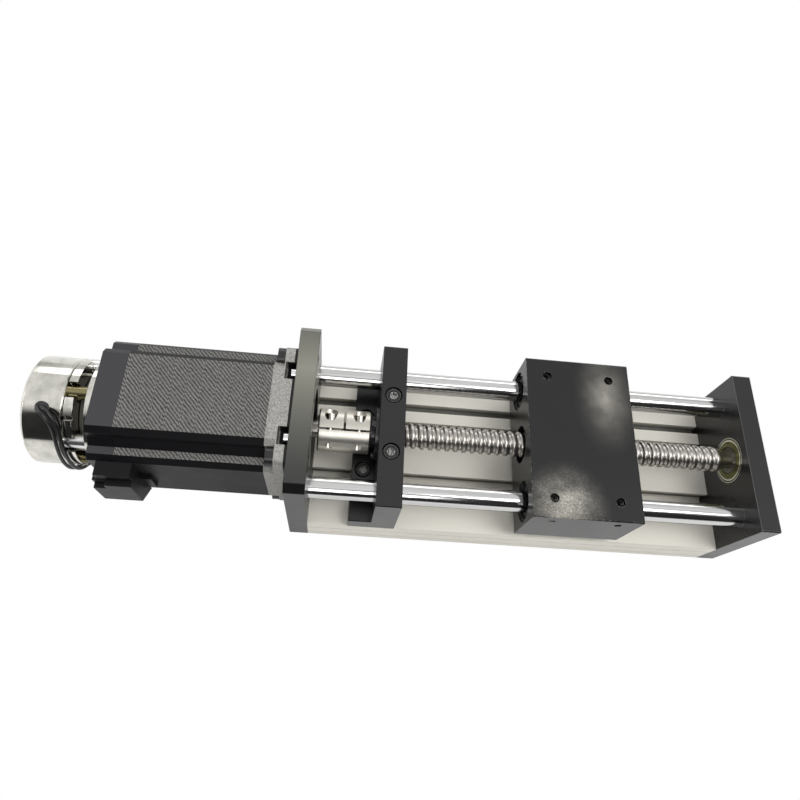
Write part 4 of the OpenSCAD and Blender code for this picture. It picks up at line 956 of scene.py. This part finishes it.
# %% Tapped threads
THREAD_PITCH = 0.7 * MM
RIDGE_HEIGHT, RIDGE_SHARE = 0.22 * MM, 0.94
RIDGE_STEPS = 24
TAPPED_X, TAPPED_Y, TAPPED_TOP = (7 * MM, 37 * MM), 30 * MM, 57.2 * MM
TAPPED_R, TAPPED_DEPTH = 2.08 * MM, 4.6 * MM


def tapped_thread(mesh, place, radius, depth):
    """A ridge on the wall of a hole that opens at the origin and goes down."""
    before = set(mesh.verts)
    outline = [(radius, 0), (radius - RIDGE_HEIGHT, THREAD_PITCH / 2),
               (radius, THREAD_PITCH * RIDGE_SHARE)]
    verts = [mesh.verts.new((r, 0, z - depth)) for r, z in outline]
    edges = [mesh.edges.new(pair) for pair in zip(verts, verts[1:] + verts[:1])]
    turns = int(depth / THREAD_PITCH) - 1
    bmesh.ops.spin(mesh, geom=verts + edges, cent=(0, 0, 0), axis=(0, 0, 1),
                   dvec=(0, 0, THREAD_PITCH / RIDGE_STEPS), angle=2 * math.pi * turns,
                   steps=turns * RIDGE_STEPS)
    bmesh.ops.holes_fill(mesh, edges=mesh.edges[:], sides=len(outline))
    place_new(mesh, before, place)


threads = bmesh.new()
for x in TAPPED_X:
    for y in (-TAPPED_Y, TAPPED_Y):
        tapped_thread(threads, Matrix.Translation((x, y, TAPPED_TOP)), TAPPED_R, TAPPED_DEPTH)
bmesh.ops.recalc_face_normals(threads, faces=threads.faces[:])
piece("tapped_threads", threads, "carriage", "coupling_alloy", finish="cut_thread")

# %% [markdown]
# ## Shields
#
# The end bearing's balls are hidden by two shields, rings pressed from sheet that reach almost to
# the outer ring. Plain discs would look flat, so each is spun from an outline with a turned rim.

# %% Shields
# (radius, distance along the axis), in millimetres
SHIELD = [(6.7, -0.05), (9.1, -0.05), (9.45, 0.1), (9.45, 0.45), (6.7, 0.45)]
FAR_SHIELD = 6.6 * MM

shields = bmesh.new()
for x in (end_x, end_x + FAR_SHIELD):
    revolve(shields, [(r * MM, h * MM) for r, h in SHIELD],
            Matrix.Translation((x, 0, 0)) @ ALONG_X)
bmesh.ops.recalc_face_normals(shields, faces=shields.faces[:])
piece("pressed_shields", shields, "base", slot_of["end_bearing_shields"], ["end_bearing_shields"])

# %% [markdown]
# ## Stage
#
# The module stands on a plain pale floor that the camera sees as pure white, as on a cut-out
# picture. A white floor with strong lamps would do it too, but would wash out the metal. So the
# floor is lit as paper, and only the rays that come straight from the camera, and those through
# glass, see it shining. Mirrored rays see a little of that shine.

# %% Floor
FLOOR_HALF = 3.0
FLOOR_Z = -0.02 * MM
MIRRORED = 0.12
WHITE, PAPER = (1, 1, 1, 1), (0.82, 0.82, 0.82, 1)

floor_mesh = bmesh.new()
bmesh.ops.create_grid(floor_mesh, x_segments=1, y_segments=1, size=FLOOR_HALF,
                      matrix=Matrix.Translation((0, 0, FLOOR_Z)))
floor_data = bpy.data.meshes.new("floor")
floor_mesh.to_mesh(floor_data)
floor_mesh.free()
floor = bpy.data.objects.new("floor", floor_data)
bpy.context.scene.collection.objects.link(floor)

paper = Finish("paper", metallic=0.0)
paper.set("Base Color", PAPER)
paper.set("Roughness", 0.9)
seen = paper.add("ShaderNodeLightPath", out="Is Camera Ray")
seen = seen.maths("MAXIMUM", paper.add("ShaderNodeLightPath", out="Is Glossy Ray") * MIRRORED)
seen = seen.maths("MAXIMUM", paper.add("ShaderNodeLightPath", out="Is Transmission Ray"))
shining = paper.add("ShaderNodeEmission", Color=WHITE, Strength=1.0)
floor_shader = mix_shaders(paper.tree, seen, Value(paper.shader.outputs[0]), shining)
feed(paper.tree.nodes["Material Output"].inputs["Surface"], floor_shader)
dress(floor, "paper")
print("the floor is", 2 * FLOOR_HALF, "m wide")

# %% [markdown]
# Polished metal shows what stands round it. A picture of a room could be used, but two slow
# gradients are enough: to the metal the room is bright behind and overhead, and dark in front,
# where the camera stands. To the camera it is white.

# %% Room
world = bpy.data.worlds.new("room")
bpy.context.scene.world = world
world.use_nodes = True
room = world.node_tree
room.nodes.clear()

looking = add_node(room, "ShaderNodeTexCoord", out="Generated")
back = add_node(room, "ShaderNodeSeparateXYZ", out="Y", Vector=looking)
above = add_node(room, "ShaderNodeSeparateXYZ", out="Z", Vector=looking)
behind = ((back * 0.9 + above * 0.42) * 3.5 + 0.45).clamped()
glow = behind * (0.62 + above * 0.32) + 0.03
dim = add_node(room, "ShaderNodeBackground", Color=WHITE, Strength=glow)
plain = add_node(room, "ShaderNodeBackground", Color=WHITE, Strength=1.0)
to_camera = add_node(room, "ShaderNodeLightPath", out="Is Camera Ray")
output = room.nodes.new("ShaderNodeOutputWorld")
feed(output.inputs["Surface"], mix_shaders(room, to_camera, dim, plain))
print("the room has", len(room.nodes), "nodes")

# %% [markdown]
# Five soft lamps stand round the module: a long one low behind it, one at each side, and two
# smaller ones in front and above. One big lamp would be simpler, but would leave the black plates
# without the bright edges that tell them apart.

# %% Lights
def soft_light(name, at, width, depth, power):
    """An area light that looks at the module, in metres and watts."""
    data = bpy.data.lights.new(name, "AREA")
    data.shape = "RECTANGLE"
    data.size, data.size_y, data.energy = width, depth, power
    obj = bpy.data.objects.new(name, data)
    bpy.context.scene.collection.objects.link(obj)
    obj.location = at
    obj.rotation_mode = "QUATERNION"
    obj.rotation_quaternion = (LIT - Vector(at)).to_track_quat("-Z", "Y")


LIT = Vector((0, 0, 0.04))
soft_light("back", (0, 0.9, 0.42), 1.3, 0.3, 2.5)
soft_light("left", (-0.95, -0.05, 0.6), 0.5, 0.5, 2.5)
soft_light("right", (0.95, -0.05, 0.6), 0.5, 0.5, 1.2)
soft_light("front", (-0.1, -0.7, 0.8), 0.4, 0.4, 2.2)
soft_light("top", (0.35, -0.24, 0.95), 0.4, 0.4, 3.6)

scene = bpy.context.scene
scene.view_settings.view_transform = "Standard"
print(len(bpy.data.lights), "lamps")
